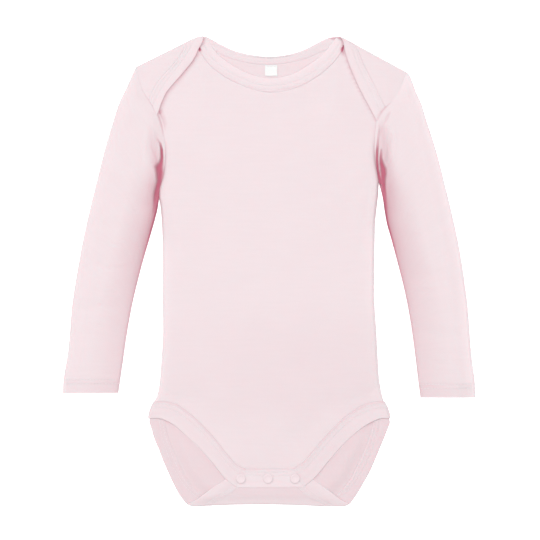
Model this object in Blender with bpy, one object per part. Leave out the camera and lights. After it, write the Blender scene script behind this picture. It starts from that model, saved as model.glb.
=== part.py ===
"""Long-sleeved baby bodysuit with an envelope neck and a snapped crotch, laid flat on its back.

The cloth lies in the XY plane with the neck towards +Y and the front facing +Z. Lengths below are in
millimetres and "left" is the -X side. Every piece is a wall of cloth: a panel is a sheet of its outer
face, thickened inwards, and a binding is a strip of two layers with a rounded free edge.
"""

import math

import bmesh
import bpy
import numpy as np

for old_object in list(bpy.data.objects):
    bpy.data.objects.remove(old_object)

MM = 0.001
DOWN, UP = -1.0, 1.0  # the way a flat binding's outer face looks
CLOTH = 1.1  # one layer of cotton interlock
BAND = 1.5  # a binding, folded double
SEAM = 0.3  # gap between sewn pieces
STUD_HEIGHT = 1.0
STUD_RADIUS = 4.0
CAP_RADIUS = 4.7
LABEL_SIZE = (11.5, 10.0, 0.8)
LABEL_TOP_EDGE = (2.0, 193.2)

# Heights of the outer faces above the table, layer by layer.
FRONT_LOW = BAND + SEAM
FRONT_TOP = FRONT_LOW + CLOTH
FRONT_BAND_TOP = FRONT_LOW + BAND
LAP_TOP = FRONT_BAND_TOP + SEAM + BAND
FLAP_TOP = BAND + 2 * SEAM + BAND
CROTCH_TOP = FLAP_TOP + SEAM + STUD_HEIGHT + SEAM + BAND
CROTCH_LIFT = CROTCH_TOP - FRONT_BAND_TOP

LAP_BEND = LAP_TOP / 2
HIP_BEND = FRONT_BAND_TOP / 2
FLAP_BEND = FLAP_TOP / 2
FLAP_FOLD_Y = -220.9  # lowest line of the crotch tab's fold
LAP_TIP = 1.2  # the lap's cloth ends this far from its binding's deepest point

FRONT_PUFF = 2.4  # air under the front, at most
FRONT_PUFF_REACH = 42.0  # from an edge to the full puff
LEG_PUFF = 0.25  # share of the puff left at the leg openings
LAP_OVERLAP = 16.0  # the front neck is under the lap shoulders this far from their folds
FOLD_FREE_REACH = 12.0  # from a lap to the full depth of the folds
CROTCH_LIFT_FROM = -118.0
CROTCH_LIFT_REACH = 66.0
SIDE_ROLL = 3.6  # width of the rounded side edge
SIDE_EDGE_LOW = 0.3
RECESS_EDGE = 3.0
BACK_TUCK = 1.7  # back panel's edge, inside the front's rolled one
BACK_TUCK_FROM = -119.0  # it is tucked above this line
BACK_LEG_TO = -124.3  # and follows the leg's seam below this one
UNDERARM_TURN = 6.0  # it leaves the tuck over this length of the armhole

SLEEVE_PUFF = 1.3
SLEEVE_OUTER_RADII = (LAP_BEND, 2.75, 2.75, 2.6)  # at the shoulder, elbow, forearm and cuff
SLEEVE_INNER_RADII = (1.5, 2.1, 2.3, 2.6)
SLEEVE_RISE = 14.0  # from the outer edge to the full puff
SLEEVE_FALL = 32.0  # from the full puff to the inner edge
SLEEVE_SEAM_REACH = 9.0  # how far the armhole's height shows in the sleeve
HEM_LENGTH = 12.0
HEM_WALL = 2 * CLOTH

# Segment counts. Edges that share corners use the same ones.
SIDE_SEGMENTS = 10
ARMHOLE_SEGMENTS = 15
SHOULDER_SEGMENTS = 4
NECK_SEGMENTS = 12
BODY_SEGMENTS = 2 * SHOULDER_SEGMENTS + NECK_SEGMENTS
SLEEVE_SEGMENTS = 30
FOLD_STEPS = 6
EDGE_STEPS = (0.0, 0.25, 0.9, 2.0, 3.8)  # points that follow a rolled side edge

# Plan outlines of each side, as (x, y) points.
SIDES = {
    "left": {
        "sign": -1,
        "fold": [(-125.3, 191.4), (-64.0, 220.9)],
        "armhole": [
            (-125.3, 191.4), (-122.6, 181.5), (-119.5, 170.5), (-110.0, 155.0),
            (-105.2, 147.0), (-101.5, 137.0), (-98.0, 115.5), (-98.0, 99.5), (-102.0, 66.0),
        ],
        "side": [
            (-102.0, 66.0), (-101.2, 48.0), (-100.8, 10.0), (-101.2, -55.0),
            (-103.4, -103.0), (-107.2, -122.0),
        ],
        "sleeve_outer": [
            (-125.3, 191.4), (-131.0, 181.0), (-140.5, 160.5), (-155.9, 113.5),
            (-173.4, 38.5), (-185.0, -32.0), (-190.4, -84.0), (-193.8, -114.2),
        ],
        "sleeve_inner": [
            (-102.0, 66.0), (-106.5, 54.0), (-116.5, 19.5), (-127.5, -20.0),
            (-134.2, -55.5), (-138.6, -93.0), (-141.6, -114.0),
        ],
        "lap_edge": [
            (-62.0, 220.2), (-65.3, 209.5), (-71.5, 197.0), (-82.5, 183.5),
            (-96.5, 167.5), (-101.0, 158.0), (-105.2, 147.0),
        ],
        "lap_seam": [(-76.5, 215.2), (-82.5, 204.0), (-92.0, 192.0), (-107.0, 174.0), (-113.0, 160.0)],
        "leg_seam": [
            (-106.2, -122.3), (-96.0, -122.5), (-87.5, -125.0), (-70.5, -137.0),
            (-54.5, -153.0), (-37.5, -174.0), (-30.0, -182.0), (-21.5, -186.0),
        ],
        "leg_edge": [
            (-111.8, -138.5), (-102.5, -138.5), (-94.0, -142.0), (-74.5, -158.0),
            (-54.5, -178.5), (-40.0, -196.0), (-31.0, -203.0),
        ],
        "back_leg_seam": [
            (-106.2, -122.3), (-101.5, -130.0), (-95.0, -155.0), (-86.0, -178.0),
            (-71.0, -204.0), (-53.0, -219.1),
        ],
        "back_leg_edge": [
            (-111.8, -138.5), (-110.0, -149.5), (-103.7, -168.5), (-96.0, -187.0),
            (-86.5, -206.0), (-75.0, -219.1),
        ],
        "flap_seam": [(-53.0, -219.1), (-40.5, -211.5), (-26.0, -201.0), (-16.0, -188.5)],
        "flap_edge": [(-75.0, -219.1), (-59.0, -209.5), (-42.0, -198.5), (-31.0, -188.5)],
    },
    "right": {
        "sign": 1,
        "fold": [(128.4, 186.2), (68.0, 219.6)],
        "armhole": [
            (128.4, 186.2), (123.9, 175.0), (116.0, 160.5), (108.8, 151.5),
            (103.4, 143.0), (99.8, 129.5), (98.5, 113.5), (103.0, 83.5),
        ],
        "side": [
            (103.0, 83.5), (100.6, 62.0), (98.4, 10.5), (99.0, -30.0),
            (102.5, -88.0), (107.6, -122.5),
        ],
        "sleeve_outer": [
            (128.4, 186.2), (133.5, 178.5), (141.5, 160.0), (156.0, 113.5),
            (174.4, 38.5), (186.0, -32.0), (191.4, -92.0), (193.8, -118.7),
        ],
        "sleeve_inner": [
            (103.0, 83.5), (106.5, 73.0), (111.5, 38.5), (122.0, 1.0),
            (131.0, -38.5), (137.0, -74.5), (143.0, -118.5),
        ],
        "lap_edge": [
            (66.0, 220.1), (68.8, 207.5), (73.5, 196.5), (84.5, 172.5),
            (95.0, 152.5), (100.2, 138.0),
        ],
        "lap_seam": [(80.0, 213.3), (84.0, 206.5), (88.8, 194.5), (101.0, 171.0), (107.6, 153.0)],
        "leg_seam": [
            (106.6, -122.8), (99.5, -122.9), (91.0, -125.0), (75.0, -134.5),
            (55.5, -152.5), (39.5, -171.0), (31.0, -180.5), (22.5, -186.0),
        ],
        "leg_edge": [
            (112.2, -138.5), (105.0, -138.5), (95.0, -142.8), (76.0, -157.0),
            (56.5, -178.0), (41.0, -196.0), (32.0, -203.0),
        ],
        "back_leg_seam": [
            (106.6, -122.8), (102.0, -130.0), (95.0, -155.0), (85.5, -178.0),
            (70.0, -204.0), (52.0, -219.1),
        ],
        "back_leg_edge": [
            (112.2, -138.5), (110.0, -149.5), (103.0, -168.5), (94.0, -187.0),
            (83.5, -206.0), (73.5, -219.1),
        ],
        "flap_seam": [(52.0, -219.1), (39.5, -214.0), (26.0, -202.5), (16.0, -188.5)],
        "flap_edge": [(73.5, -219.1), (62.0, -211.0), (45.0, -198.5), (32.0, -188.5)],
    },
}
NECK_FRONT_SEAM = [
    (-72.0, 217.5), (-64.0, 205.0), (-56.5, 194.5), (-43.0, 183.5), (-26.5, 175.0), (0.0, 168.0),
    (30.0, 174.0), (47.0, 184.0), (61.0, 196.5), (67.5, 205.0), (76.0, 216.5),
]
NECK_FRONT_EDGE = [
    (-58.5, 221.0), (-54.0, 212.0), (-46.0, 202.0), (-34.0, 193.5), (-18.5, 185.5), (0.5, 181.5),
    (20.0, 184.5), (36.0, 193.0), (49.0, 202.5), (57.0, 211.5), (64.0, 220.5),
]
NECK_BACK_SEAM = [
    (-76.5, 215.2), (-53.5, 208.5), (-41.5, 202.0), (-22.5, 196.0), (0.0, 194.0),
    (20.0, 196.0), (38.5, 201.0), (52.5, 207.5), (80.0, 213.3),
]
NECK_BACK_EDGE = [
    (-62.0, 220.2), (-46.0, 213.7), (-27.5, 205.0), (-13.0, 202.0), (1.0, 201.0),
    (15.0, 202.5), (29.0, 206.0), (48.0, 216.0), (66.0, 220.1),
]

# Broad soft folds of the top layer: height (a trough is negative) and half-width.
FOLDS = [
    {"start": (-106, 150), "end": (-104, 112), "height": 0.9, "width": 4.0},
    {"start": (-111, 118), "end": (-122, 60), "height": -0.8, "width": 6.0},
    {"start": (-162, 44), "end": (-130, 38), "height": -0.6, "width": 7.0},
    {"start": (-172, 4), "end": (-140, 2), "height": -0.5, "width": 6.0},
    {"start": (-150, 92), "end": (-118, 86), "height": 0.5, "width": 8.0},
    {"start": (-176, -36), "end": (-140, -32), "height": -0.6, "width": 7.0},
    {"start": (107, 150), "end": (108, 104), "height": 0.9, "width": 4.0},
    {"start": (112, 118), "end": (124, 56), "height": -0.8, "width": 6.0},
    {"start": (122, 47), "end": (160, 42), "height": -0.6, "width": 7.0},
    {"start": (128, -4), "end": (166, -8), "height": -0.5, "width": 6.0},
    {"start": (138, -56), "end": (178, -60), "height": -0.6, "width": 7.0},
    {"start": (-96, 96), "end": (-62, 60), "height": 0.5, "width": 7.0},
    {"start": (96, 104), "end": (60, 64), "height": 0.5, "width": 7.0},
    {"start": (-60, -120), "end": (-24, -160), "height": -0.4, "width": 8.0},
    {"start": (60, -122), "end": (24, -160), "height": -0.4, "width": 8.0},
]

PLACKET = {"seam": [(-21.2, -186.0), (22.2, -186.0)], "edge": [(-30.7, -203.2), (31.7, -203.0)]}
SNAP_POSITIONS = [(-26.4, -194.8), (-1.0, -194.8), (24.4, -194.8)]


def smooth(points, per_span=10):
    """Dense polyline of the smooth curve through the points."""
    points = np.array(points, float)
    steps = np.linalg.norm(np.diff(points, axis=0), axis=1)
    knots = np.concatenate([[0.0], np.cumsum(steps)])
    slopes = np.gradient(points, knots, axis=0)
    t = np.linspace(0.0, 1.0, per_span, endpoint=False)[:, None]
    spans = []
    for i, step in enumerate(steps):
        start, end = points[i], points[i + 1]
        leave, arrive = slopes[i] * step, slopes[i + 1] * step
        blend = (2 * t**3 - 3 * t**2 + 1) * start + (3 * t**2 - 2 * t**3) * end
        spans.append(blend + (t**3 - 2 * t**2 + t) * leave + (t**3 - t**2) * arrive)
    return np.vstack([*spans, points[-1:]])


def lengths(line):
    """Distance of each point from the line's start, along it."""
    return np.concatenate([[0.0], np.cumsum(np.linalg.norm(np.diff(line, axis=0), axis=1))])


def at(line, distances):
    along = lengths(line)
    return np.stack([np.interp(distances, along, line[:, k]) for k in range(line.shape[1])], axis=1)


def even(line, segments):
    return at(line, np.linspace(0.0, lengths(line)[-1], segments + 1))


def from_edge(line, steps, segments):
    """Points that start at the given small distances, then spread evenly to the line's end."""
    rest = np.linspace(steps[-1], lengths(line)[-1], segments + 1)[1:]
    return at(line, np.concatenate([steps, rest]))


def moved(line, distance):
    """The line moved sideways, to the left of its direction."""
    direction = np.gradient(line, axis=0)
    direction /= np.linalg.norm(direction, axis=1)[:, None]
    return line + distance * np.stack([-direction[:, 1], direction[:, 0]], axis=1)


def joined(*lines):
    """One polyline from lines that follow each other, with shared ends kept once."""
    return np.vstack([lines[0], *[line[1:] for line in lines[1:]]])


def ease(value):
    value = np.clip(value, 0.0, 1.0)
    return value * value * (3 - 2 * value)


def distance_to(points, line):
    """Shortest distance of each point to a polyline."""
    nearest = np.full(points.shape[:-1], np.inf)
    for start, end in zip(line[:-1], line[1:]):
        span = end - start
        t = np.clip(((points - start) @ span) / max(span @ span, 1e-9), 0.0, 1.0)
        gap = np.linalg.norm(points - start - t[..., None] * span, axis=-1)
        nearest = np.minimum(nearest, gap)
    return nearest


def coons(bottom, top, left, right):
    """Rows of plan points that fill the space between four edge lines."""
    v = (lengths(left) / lengths(left)[-1] + lengths(right) / lengths(right)[-1])[:, None, None] / 2
    u = (lengths(bottom) / lengths(bottom)[-1] + lengths(top) / lengths(top)[-1])[None, :, None] / 2
    across = (1 - v) * bottom[None] + v * top[None]
    along = (1 - u) * left[:, None] + u * right[:, None]
    corners = (1 - v) * ((1 - u) * left[0] + u * right[0]) + v * ((1 - u) * left[-1] + u * right[-1])
    return across + along - corners


def lifted(plan, height):
    """Plan points with their height as the third coordinate."""
    height = np.broadcast_to(height, plan.shape[:-1])
    return np.concatenate([plan, height[..., None]], axis=-1)


def fold_relief(points):
    relief = np.zeros(points.shape[:-1])
    for fold in FOLDS:
        line = np.array([fold["start"], fold["end"]], float)
        gap = distance_to(points, line) / fold["width"]
        relief += fold["height"] * np.exp(-gap * gap)
    return relief


class Side:
    """Curves of one side of the garment, each running away from the neck or the crotch."""

    def __init__(self, table):
        self.sign = table["sign"]
        curve_names = table.keys() - {"sign", "fold"}
        self.curves = {name: smooth(table[name]) for name in curve_names}
        self.fold_start = np.array(table["fold"][0], float)
        along = np.array(table["fold"][1], float) - self.fold_start
        along /= np.linalg.norm(along)
        self.outward = np.array([along[1], -along[0]]) * self.sign

    def depth(self, points):
        """Distance of points from the shoulder fold's outer line, inwards."""
        return -(points - self.fold_start) @ self.outward

    def at_depth(self, line, depths):
        """Points of a line at given depths. The line starts on the fold."""
        reach = np.maximum.accumulate(self.depth(line))
        return np.stack([np.interp(depths, reach, line[:, k]) for k in range(2)], axis=1)


LEFT = Side(SIDES["left"])
RIGHT = Side(SIDES["right"])
NECK_SEAM_FRONT = smooth(NECK_FRONT_SEAM)
NECK_EDGE_FRONT = smooth(NECK_FRONT_EDGE)
NECK_SEAM_BACK = smooth(NECK_BACK_SEAM)
NECK_EDGE_BACK = smooth(NECK_BACK_EDGE)


def material(name, color, roughness, metallic=0.0):
    made = bpy.data.materials.new(name)
    made.use_nodes = True
    shader = made.node_tree.nodes["Principled BSDF"]
    shader.inputs["Base Color"].default_value = (*color, 1.0)
    shader.inputs["Roughness"].default_value = roughness
    shader.inputs["Metallic"].default_value = metallic
    return made


INTERLOCK = material("pale_pink_interlock", (0.9, 0.77, 0.8), 0.9)
BINDING = material("pale_pink_binding", (0.88, 0.75, 0.78), 0.9)
SNAP = material("snap_enamel", (0.86, 0.74, 0.76), 0.35)
STEEL = material("snap_steel", (0.75, 0.75, 0.76), 0.3, 1.0)
TAPE = material("label_tape", (0.95, 0.95, 0.95), 0.6)


def place(name, mesh, finish):
    made = bpy.data.objects.new(name, mesh)
    mesh.materials.append(finish)
    bpy.context.scene.collection.objects.link(made)
    mesh.shade_smooth()
    mesh.set_sharp_from_angle(angle=math.radians(40))
    return made


def sheet(name, grids, flip=False):
    """A panel of cloth. Its grids hold points of the outer face, and share their common edges."""
    shape = bmesh.new()
    for grid in grids:
        rows = [[shape.verts.new(point * MM) for point in row] for row in grid]
        for lower, upper in zip(rows[:-1], rows[1:]):
            for k in range(len(lower) - 1):
                corners = [lower[k], lower[k + 1], upper[k + 1], upper[k]]
                shape.faces.new(corners[::-1] if flip else corners)
    bmesh.ops.remove_doubles(shape, verts=shape.verts, dist=0.01 * MM)
    mesh = bpy.data.meshes.new(name)
    shape.to_mesh(mesh)
    shape.free()
    made = place(name, mesh, INTERLOCK)
    wall = made.modifiers.new("cloth", "SOLIDIFY")
    wall.thickness = CLOTH * MM
    wall.offset = -1.0
    wall.use_even_offset = True
    return made


def closed_from_rings(name, rings, finish, loop=False):
    """A solid through rings of equal counts. It is capped at both ends, or joined round when it loops."""
    shape = bmesh.new()
    made = [[shape.verts.new(point * MM) for point in ring] for ring in rings]
    pairs = list(zip(made[:-1], made[1:]))
    if loop:
        pairs.append((made[-1], made[0]))
    else:
        shape.faces.new(made[0])
        shape.faces.new(made[-1])
    for near, far in pairs:
        for k in range(len(near)):
            shape.faces.new([near[k - 1], near[k], far[k], far[k - 1]])
    bmesh.ops.recalc_face_normals(shape, faces=shape.faces)
    mesh = bpy.data.meshes.new(name)
    shape.to_mesh(mesh)
    shape.free()
    return place(name, mesh, finish)


def strip(name, stations, finish=None):
    """A binding. Each station holds its seam point, free-edge point and outward normal on the outer face."""
    rings = []
    corner = BAND / 2
    for seam, edge, normal in stations:
        across = (edge - seam) / np.linalg.norm(edge - seam)
        ring = [seam, edge - corner * across]
        for angle in (45, 90, 135):
            turn = math.radians(angle)
            back, down = corner * (1 - math.sin(turn)), corner * (1 - math.cos(turn))
            ring.append(edge - back * across - down * normal)
        ring.append(edge - corner * across - BAND * normal)
        ring.append(seam - BAND * normal)
        rings.append(np.array(ring))
    return closed_from_rings(name, rings, finish or BINDING)


def flat_stations(seam, edge, height, facing):
    """Stations that lie flat. The seam is moved by the sewn gap, towards the free edge."""
    normal = np.array([0.0, 0.0, facing])
    height = np.broadcast_to(height, len(seam))
    stations = []
    for s, e, z in zip(seam, edge, height):
        inner = s + (e - s) * SEAM / np.linalg.norm(e - s)
        stations.append((np.array([*inner, z]), np.array([*e, z]), normal))
    return stations


def bend_stations(low, high, outward, radius, steps):
    """Stations round a fold, between the last flat one on the lower layer and the first on the upper."""
    stations = []
    for angle in np.linspace(-90, 90, steps + 2)[1:-1]:
        turn = math.radians(angle)
        share = (angle + 90) / 180
        normal = np.array([*(outward * math.cos(turn)), math.sin(turn)])
        points = []
        for lower, upper in zip(low[:2], high[:2]):
            base = (1 - share) * lower + share * upper
            base[2] = radius
            points.append(base + radius * normal)
        stations.append((*points, normal))
    return stations


def front_height(points):
    """Outer face of the front panel, before its side edges are rolled."""
    under_laps = (LEFT.depth(NECK_SEAM_FRONT) < LAP_OVERLAP) | (RIGHT.depth(NECK_SEAM_FRONT) < LAP_OVERLAP)
    neck = NECK_SEAM_FRONT[~under_laps]
    above = joined(LEFT.curves["lap_edge"][::-1], neck, RIGHT.curves["lap_edge"])
    order = np.argsort(above[:, 0])
    line_y = np.interp(points[..., 0], above[order, 0], above[order, 1])
    below_neck = np.where(points[..., 1] < line_y, distance_to(points, above), 0.0)
    legs = joined(LEFT.curves["leg_seam"], RIGHT.curves["leg_seam"][::-1])
    above_legs = ease(distance_to(points, legs) / FRONT_PUFF_REACH)
    puff = ease(below_neck / FRONT_PUFF_REACH) * (LEG_PUFF + (1 - LEG_PUFF) * above_legs)
    lift = ease((CROTCH_LIFT_FROM - points[..., 1]) / CROTCH_LIFT_REACH)
    free = ease(below_neck / FOLD_FREE_REACH)
    return FRONT_TOP + FRONT_PUFF * puff * (1 - lift) + CROTCH_LIFT * lift + free * fold_relief(points)


def front_side_edge(side, points):
    """Height of the front's outer face at its very edge: rolled down to the table below the armhole."""
    underarm = side.curves["armhole"][-1][1]
    return np.interp(points[..., 1], [underarm - 4, underarm + 3], [SIDE_EDGE_LOW, RECESS_EDGE])


def front_panel():
    sides = []
    for side in (LEFT, RIGHT):
        armhole = side.curves["armhole"]
        start = side.at_depth(armhole, [LAP_BEND + SEAM])
        upper = np.vstack([start, armhole[side.depth(armhole) > LAP_BEND + 1]])
        lower = even(side.curves["side"][::-1], SIDE_SEGMENTS)
        sides.append(joined(lower, even(upper[::-1], ARMHOLE_SEGMENTS)))
    crotch = smooth(PLACKET["seam"])
    seam = moved(joined(LEFT.curves["leg_seam"], crotch, RIGHT.curves["leg_seam"][::-1]), SEAM)
    leg_count = len(LEFT.curves["leg_seam"])
    leg_left = from_edge(np.vstack([sides[0][:1], seam[:leg_count]]), EDGE_STEPS, 10)
    leg_right = from_edge(np.vstack([sides[1][:1], seam[-leg_count:][::-1]]), EDGE_STEPS, 10)[::-1]
    bottom = joined(leg_left, even(seam[leg_count - 1 : 1 - leg_count], 5), leg_right)
    neck = moved(NECK_SEAM_FRONT, -SEAM)
    inside = (LEFT.depth(neck) > LAP_BEND + SEAM) & (RIGHT.depth(neck) > LAP_BEND + SEAM)
    neck = neck[inside]
    shoulder_left = from_edge(np.array([sides[0][-1], neck[0]]), EDGE_STEPS, 4)
    shoulder_right = from_edge(np.array([sides[1][-1], neck[-1]]), EDGE_STEPS, 4)[::-1]
    top = joined(shoulder_left, even(neck, 17), shoulder_right)
    plan = coons(bottom, top, *sides)
    height = front_height(plan)
    for side, edge in zip((LEFT, RIGHT), sides):
        gap = np.clip(distance_to(plan, edge) / SIDE_ROLL, 0.0, 1.0)
        low = np.minimum(front_side_edge(side, plan), height)
        height = low + (height - low) * np.sqrt(1 - (1 - gap) ** 2)
    sheet("front_panel", [lifted(plan, height)])


def back_side(side):
    """Edge of the back panel's lower layer, from the crotch fold up to the shoulder fold."""
    corner = np.array([side.curves["back_leg_seam"][-1][0] - side.sign * 3 * SEAM, FLAP_FOLD_Y + FLAP_BEND])
    leg = moved(side.curves["back_leg_seam"][::-1], side.sign * 2 * SEAM)
    leg = leg[(leg[:, 1] < BACK_LEG_TO) & (leg[:, 1] > corner[1] + 1)]
    leg = np.vstack([corner, leg])
    tucked = moved(side.curves["side"][::-1], side.sign * BACK_TUCK)
    tucked = np.vstack([leg[-1], tucked[tucked[:, 1] > BACK_TUCK_FROM]])
    armhole = moved(side.curves["armhole"][::-1], side.sign * SEAM / 2)
    clear = (side.depth(armhole) > LAP_BEND + 1) & (armhole[:, 1] > armhole[0, 1] + UNDERARM_TURN)
    start = side.at_depth(armhole[::-1], [LAP_BEND])
    armhole = np.vstack([tucked[-1], armhole[clear], start])
    return joined(even(leg, 9), even(tucked, 7), even(armhole, ARMHOLE_SEGMENTS + 1))


def turned_rows(low, high, outward, radius, steps):
    """Rows round a fold from the lower layer's last row to the upper layer's first."""
    rows = []
    for angle in np.linspace(-90, 90, steps + 1):
        turn = math.radians(angle)
        share = (angle + 90) / 180
        plan = (1 - share) * low + share * high + outward * radius * math.cos(turn)
        rows.append(lifted(plan, radius * (1 + math.sin(turn))))
    return rows


def lap_grid(side, low_row):
    """The lap shoulder: round the shoulder fold, then over the front to its binding."""
    armhole = moved(side.curves["armhole"], -side.sign * SEAM / 2)
    seam = moved(side.curves["lap_seam"], side.sign * SEAM)
    deepest = side.depth(seam).max() - LAP_TIP
    rows = []
    for depth in np.linspace(LAP_BEND, deepest, 7):
        ends = [side.at_depth(armhole, [depth])[0], side.at_depth(seam, [depth])[0]]
        rows.append(even(np.array(ends[:: -side.sign]), len(low_row) - 1))
    turned = turned_rows(low_row, rows[0], side.outward, LAP_BEND, FOLD_STEPS)
    tip = 0 if side.sign < 0 else -1
    share = np.linspace(1.0, 0.0, len(low_row))[:: -side.sign, None]
    for row in turned:
        height = (row[tip, 2] - LAP_BEND) / LAP_BEND
        depth = LAP_BEND * (1 - math.sqrt(1 - min(height * height, 1.0)))
        row[:, :2] += share * (side.at_depth(armhole, [depth])[0] - row[tip, :2])
    return np.array(turned + [lifted(row, LAP_TOP) for row in rows[1:]])


def back_panel():
    left, right = back_side(LEFT), back_side(RIGHT)
    fold_y = FLAP_FOLD_Y + FLAP_BEND
    bottom = even(np.array([left[0], right[0]]), BODY_SEGMENTS)
    seam = moved(NECK_SEAM_BACK, -SEAM)
    starts = [side.at_depth(line, [LAP_BEND]) for side, line in ((LEFT, seam), (RIGHT, seam[::-1]))]
    middle = seam[(LEFT.depth(seam) > LAP_BEND + 0.5) & (RIGHT.depth(seam) > LAP_BEND + 0.5)]
    shoulder_left = even(np.vstack([left[-1:], starts[0]]), SHOULDER_SEGMENTS)
    shoulder_right = even(np.vstack([starts[1], right[-1:]]), SHOULDER_SEGMENTS)
    neck = even(np.vstack([starts[0], middle, starts[1]]), NECK_SEGMENTS)
    top = joined(shoulder_left, neck, shoulder_right)
    lower = lifted(coons(bottom, top, left, right), 0.0)
    tab_left = even(moved(LEFT.curves["flap_seam"], -1.5 * SEAM), 4)
    tab_right = even(moved(RIGHT.curves["flap_seam"], 1.5 * SEAM), 4)
    tab_left[0], tab_right[0] = left[0], right[0]
    tab_left[0, 1] = tab_right[0, 1] = fold_y
    tab = np.linspace(tab_left, tab_right, BODY_SEGMENTS + 1, axis=1)
    fold = turned_rows(lower[0, :, :2], tab[0], np.array([0.0, -1.0]), FLAP_BEND, FOLD_STEPS)
    rows = [lifted(row, FLAP_TOP) for row in tab[:0:-1]] + fold[::-1][:-1] + list(lower)
    laps = [lap_grid(LEFT, shoulder_left), lap_grid(RIGHT, shoulder_right)]
    sheet("back_panel", [np.array(rows), *laps], flip=True)


def sleeve_ring(row, outer_radius, inner_radius, crown, inset):
    """Closed section on a plan row from the outer to the inner edge, moved in by the inset."""
    width = lengths(row)[-1]
    points = []
    for a in np.linspace(outer_radius, width - inner_radius, 13)[1:-1]:
        points.append((a, inset))
    for angle in np.linspace(-90, 90, 5):
        turn = math.radians(angle)
        reach = inner_radius - inset
        points.append((width - inner_radius + reach * math.cos(turn), inner_radius + reach * math.sin(turn)))
    for a in np.linspace(width - inner_radius, outer_radius, 13)[1:-1]:
        points.append((a, np.interp(a, crown[0], crown[1]) - inset))
    for angle in np.linspace(90, 270, 6):
        turn = math.radians(angle)
        reach = outer_radius - inset
        points.append((outer_radius + reach * math.cos(turn), outer_radius + reach * math.sin(turn)))
    points = np.array(points)
    return lifted(at(row, points[:, 0]), points[:, 1])


def sleeve_crown(side, row, outer_radius, inner_radius, armhole):
    """Height of the sleeve's top face across one row, as distances and heights."""
    width = lengths(row)[-1]
    across = np.linspace(outer_radius, width - inner_radius, 40)
    plan = at(row, across)
    base = np.interp(across, [across[0], across[-1]], [2 * outer_radius, 2 * inner_radius])
    inside = across - outer_radius
    outside = across[-1] - across
    profile = ease(inside / SLEEVE_RISE) * (1 - np.clip(1 - outside / SLEEVE_FALL, 0, 1) ** 2)
    edge_free = ease(np.minimum(inside, outside) / 6)
    body = base + SLEEVE_PUFF * profile + edge_free * fold_relief(plan)
    lap_end = side.curves["lap_edge"][-1][1]
    heights = [RECESS_EDGE, RECESS_EDGE + 0.3, LAP_TOP, LAP_TOP]
    seam = np.interp(plan[:, 1], [armhole[-1][1], lap_end - 6, lap_end + 8, armhole[0][1]], heights)
    near = 1 - ease(distance_to(plan, armhole) / SLEEVE_SEAM_REACH)
    return across, body + (seam - body) * near * edge_free


def sleeve(name, side):
    armhole = moved(side.curves["armhole"], side.sign * SEAM)
    outer = np.vstack([armhole[:1], side.curves["sleeve_outer"][4:]])
    inner = np.vstack([armhole[-1:], side.curves["sleeve_inner"][4:]])
    cuff = np.array([outer[-1], inner[-1]])
    hem = 1 - HEM_LENGTH / lengths(inner)[-1]
    down = np.concatenate([[0, 0.012, 0.035, 0.07], np.linspace(0.11, hem, 13), [(1 + hem) / 2, 1.0]])
    start, end = even(armhole, SLEEVE_SEGMENTS), even(cuff, SLEEVE_SEGMENTS)
    rows = coons(start, end, at(outer, down * lengths(outer)[-1]), at(inner, down * lengths(inner)[-1]))
    stops = [0.0, 0.35, 0.75, 1.0]
    rings = []
    outside = [(k, 0.0) for k in range(len(down))]
    inside = [(k, HEM_WALL if down[k] > hem + 0.001 else CLOTH) for k in range(len(down))]
    for k, inset in outside + inside[::-1]:
        radii = np.interp(down[k], stops, SLEEVE_OUTER_RADII), np.interp(down[k], stops, SLEEVE_INNER_RADII)
        rings.append(sleeve_ring(rows[k], *radii, sleeve_crown(side, rows[k], *radii, armhole), inset))
    closed_from_rings(name, rings, INTERLOCK, loop=True)


def neck_binding_front():
    ends = LAP_BEND + SEAM
    rails = []
    for line in (NECK_SEAM_FRONT, NECK_EDGE_FRONT):
        inside = (LEFT.depth(line) > ends) & (RIGHT.depth(line) > ends)
        rails.append(even(line[inside], 26))
    strip("neck_binding_front", flat_stations(*rails, FRONT_BAND_TOP, UP))


def lap_stations(side):
    """From the shoulder fold to the armhole, on the upper layer."""
    rails = []
    for name in ("lap_seam", "lap_edge"):
        line = side.curves[name]
        start = side.at_depth(line, [LAP_BEND])
        rails.append(even(np.vstack([start, line[side.depth(line) > LAP_BEND + 0.5]]), 9))
    return flat_stations(*rails, LAP_TOP, UP)


def neck_binding_back():
    rails = []
    for line in (NECK_SEAM_BACK, NECK_EDGE_BACK):
        start = LEFT.at_depth(line, [LAP_BEND])
        end = RIGHT.at_depth(line[::-1], [LAP_BEND])
        middle = line[(LEFT.depth(line) > LAP_BEND + 0.5) & (RIGHT.depth(line) > LAP_BEND + 0.5)]
        rails.append(even(np.vstack([start, middle, end]), 18))
    neck = flat_stations(*rails, 0.0, DOWN)
    left, right = lap_stations(LEFT), lap_stations(RIGHT)
    left_turn = bend_stations(neck[0], left[0], LEFT.outward, LAP_BEND, 5)
    right_turn = bend_stations(neck[-1], right[0], RIGHT.outward, LAP_BEND, 5)
    strip("neck_binding_back", left[::-1] + left_turn[::-1] + neck + right_turn + right)


def leg_binding(name, side):
    """From the front crotch edge over the hip and down the back, then up the folded crotch tab."""
    def rails(seam, edge, segments):
        return even(side.curves[seam], segments), even(side.curves[edge], segments)

    seam, edge = rails("leg_seam", "leg_edge", 16)
    front = flat_stations(seam[::-1], edge[::-1], front_height(seam[::-1]) + BAND - CLOTH, UP)
    back = flat_stations(*rails("back_leg_seam", "back_leg_edge", 12), 0.0, DOWN)
    tab = flat_stations(*rails("flap_seam", "flap_edge", 5), FLAP_TOP, UP)
    hip = bend_stations(back[0], front[-1], np.array([side.sign, 0.0]), HIP_BEND, 4)
    fold = bend_stations(back[-1], tab[0], np.array([0.0, -1.0]), FLAP_BEND, 4)
    strip(name, front + hip[::-1] + back + fold + tab)


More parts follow.
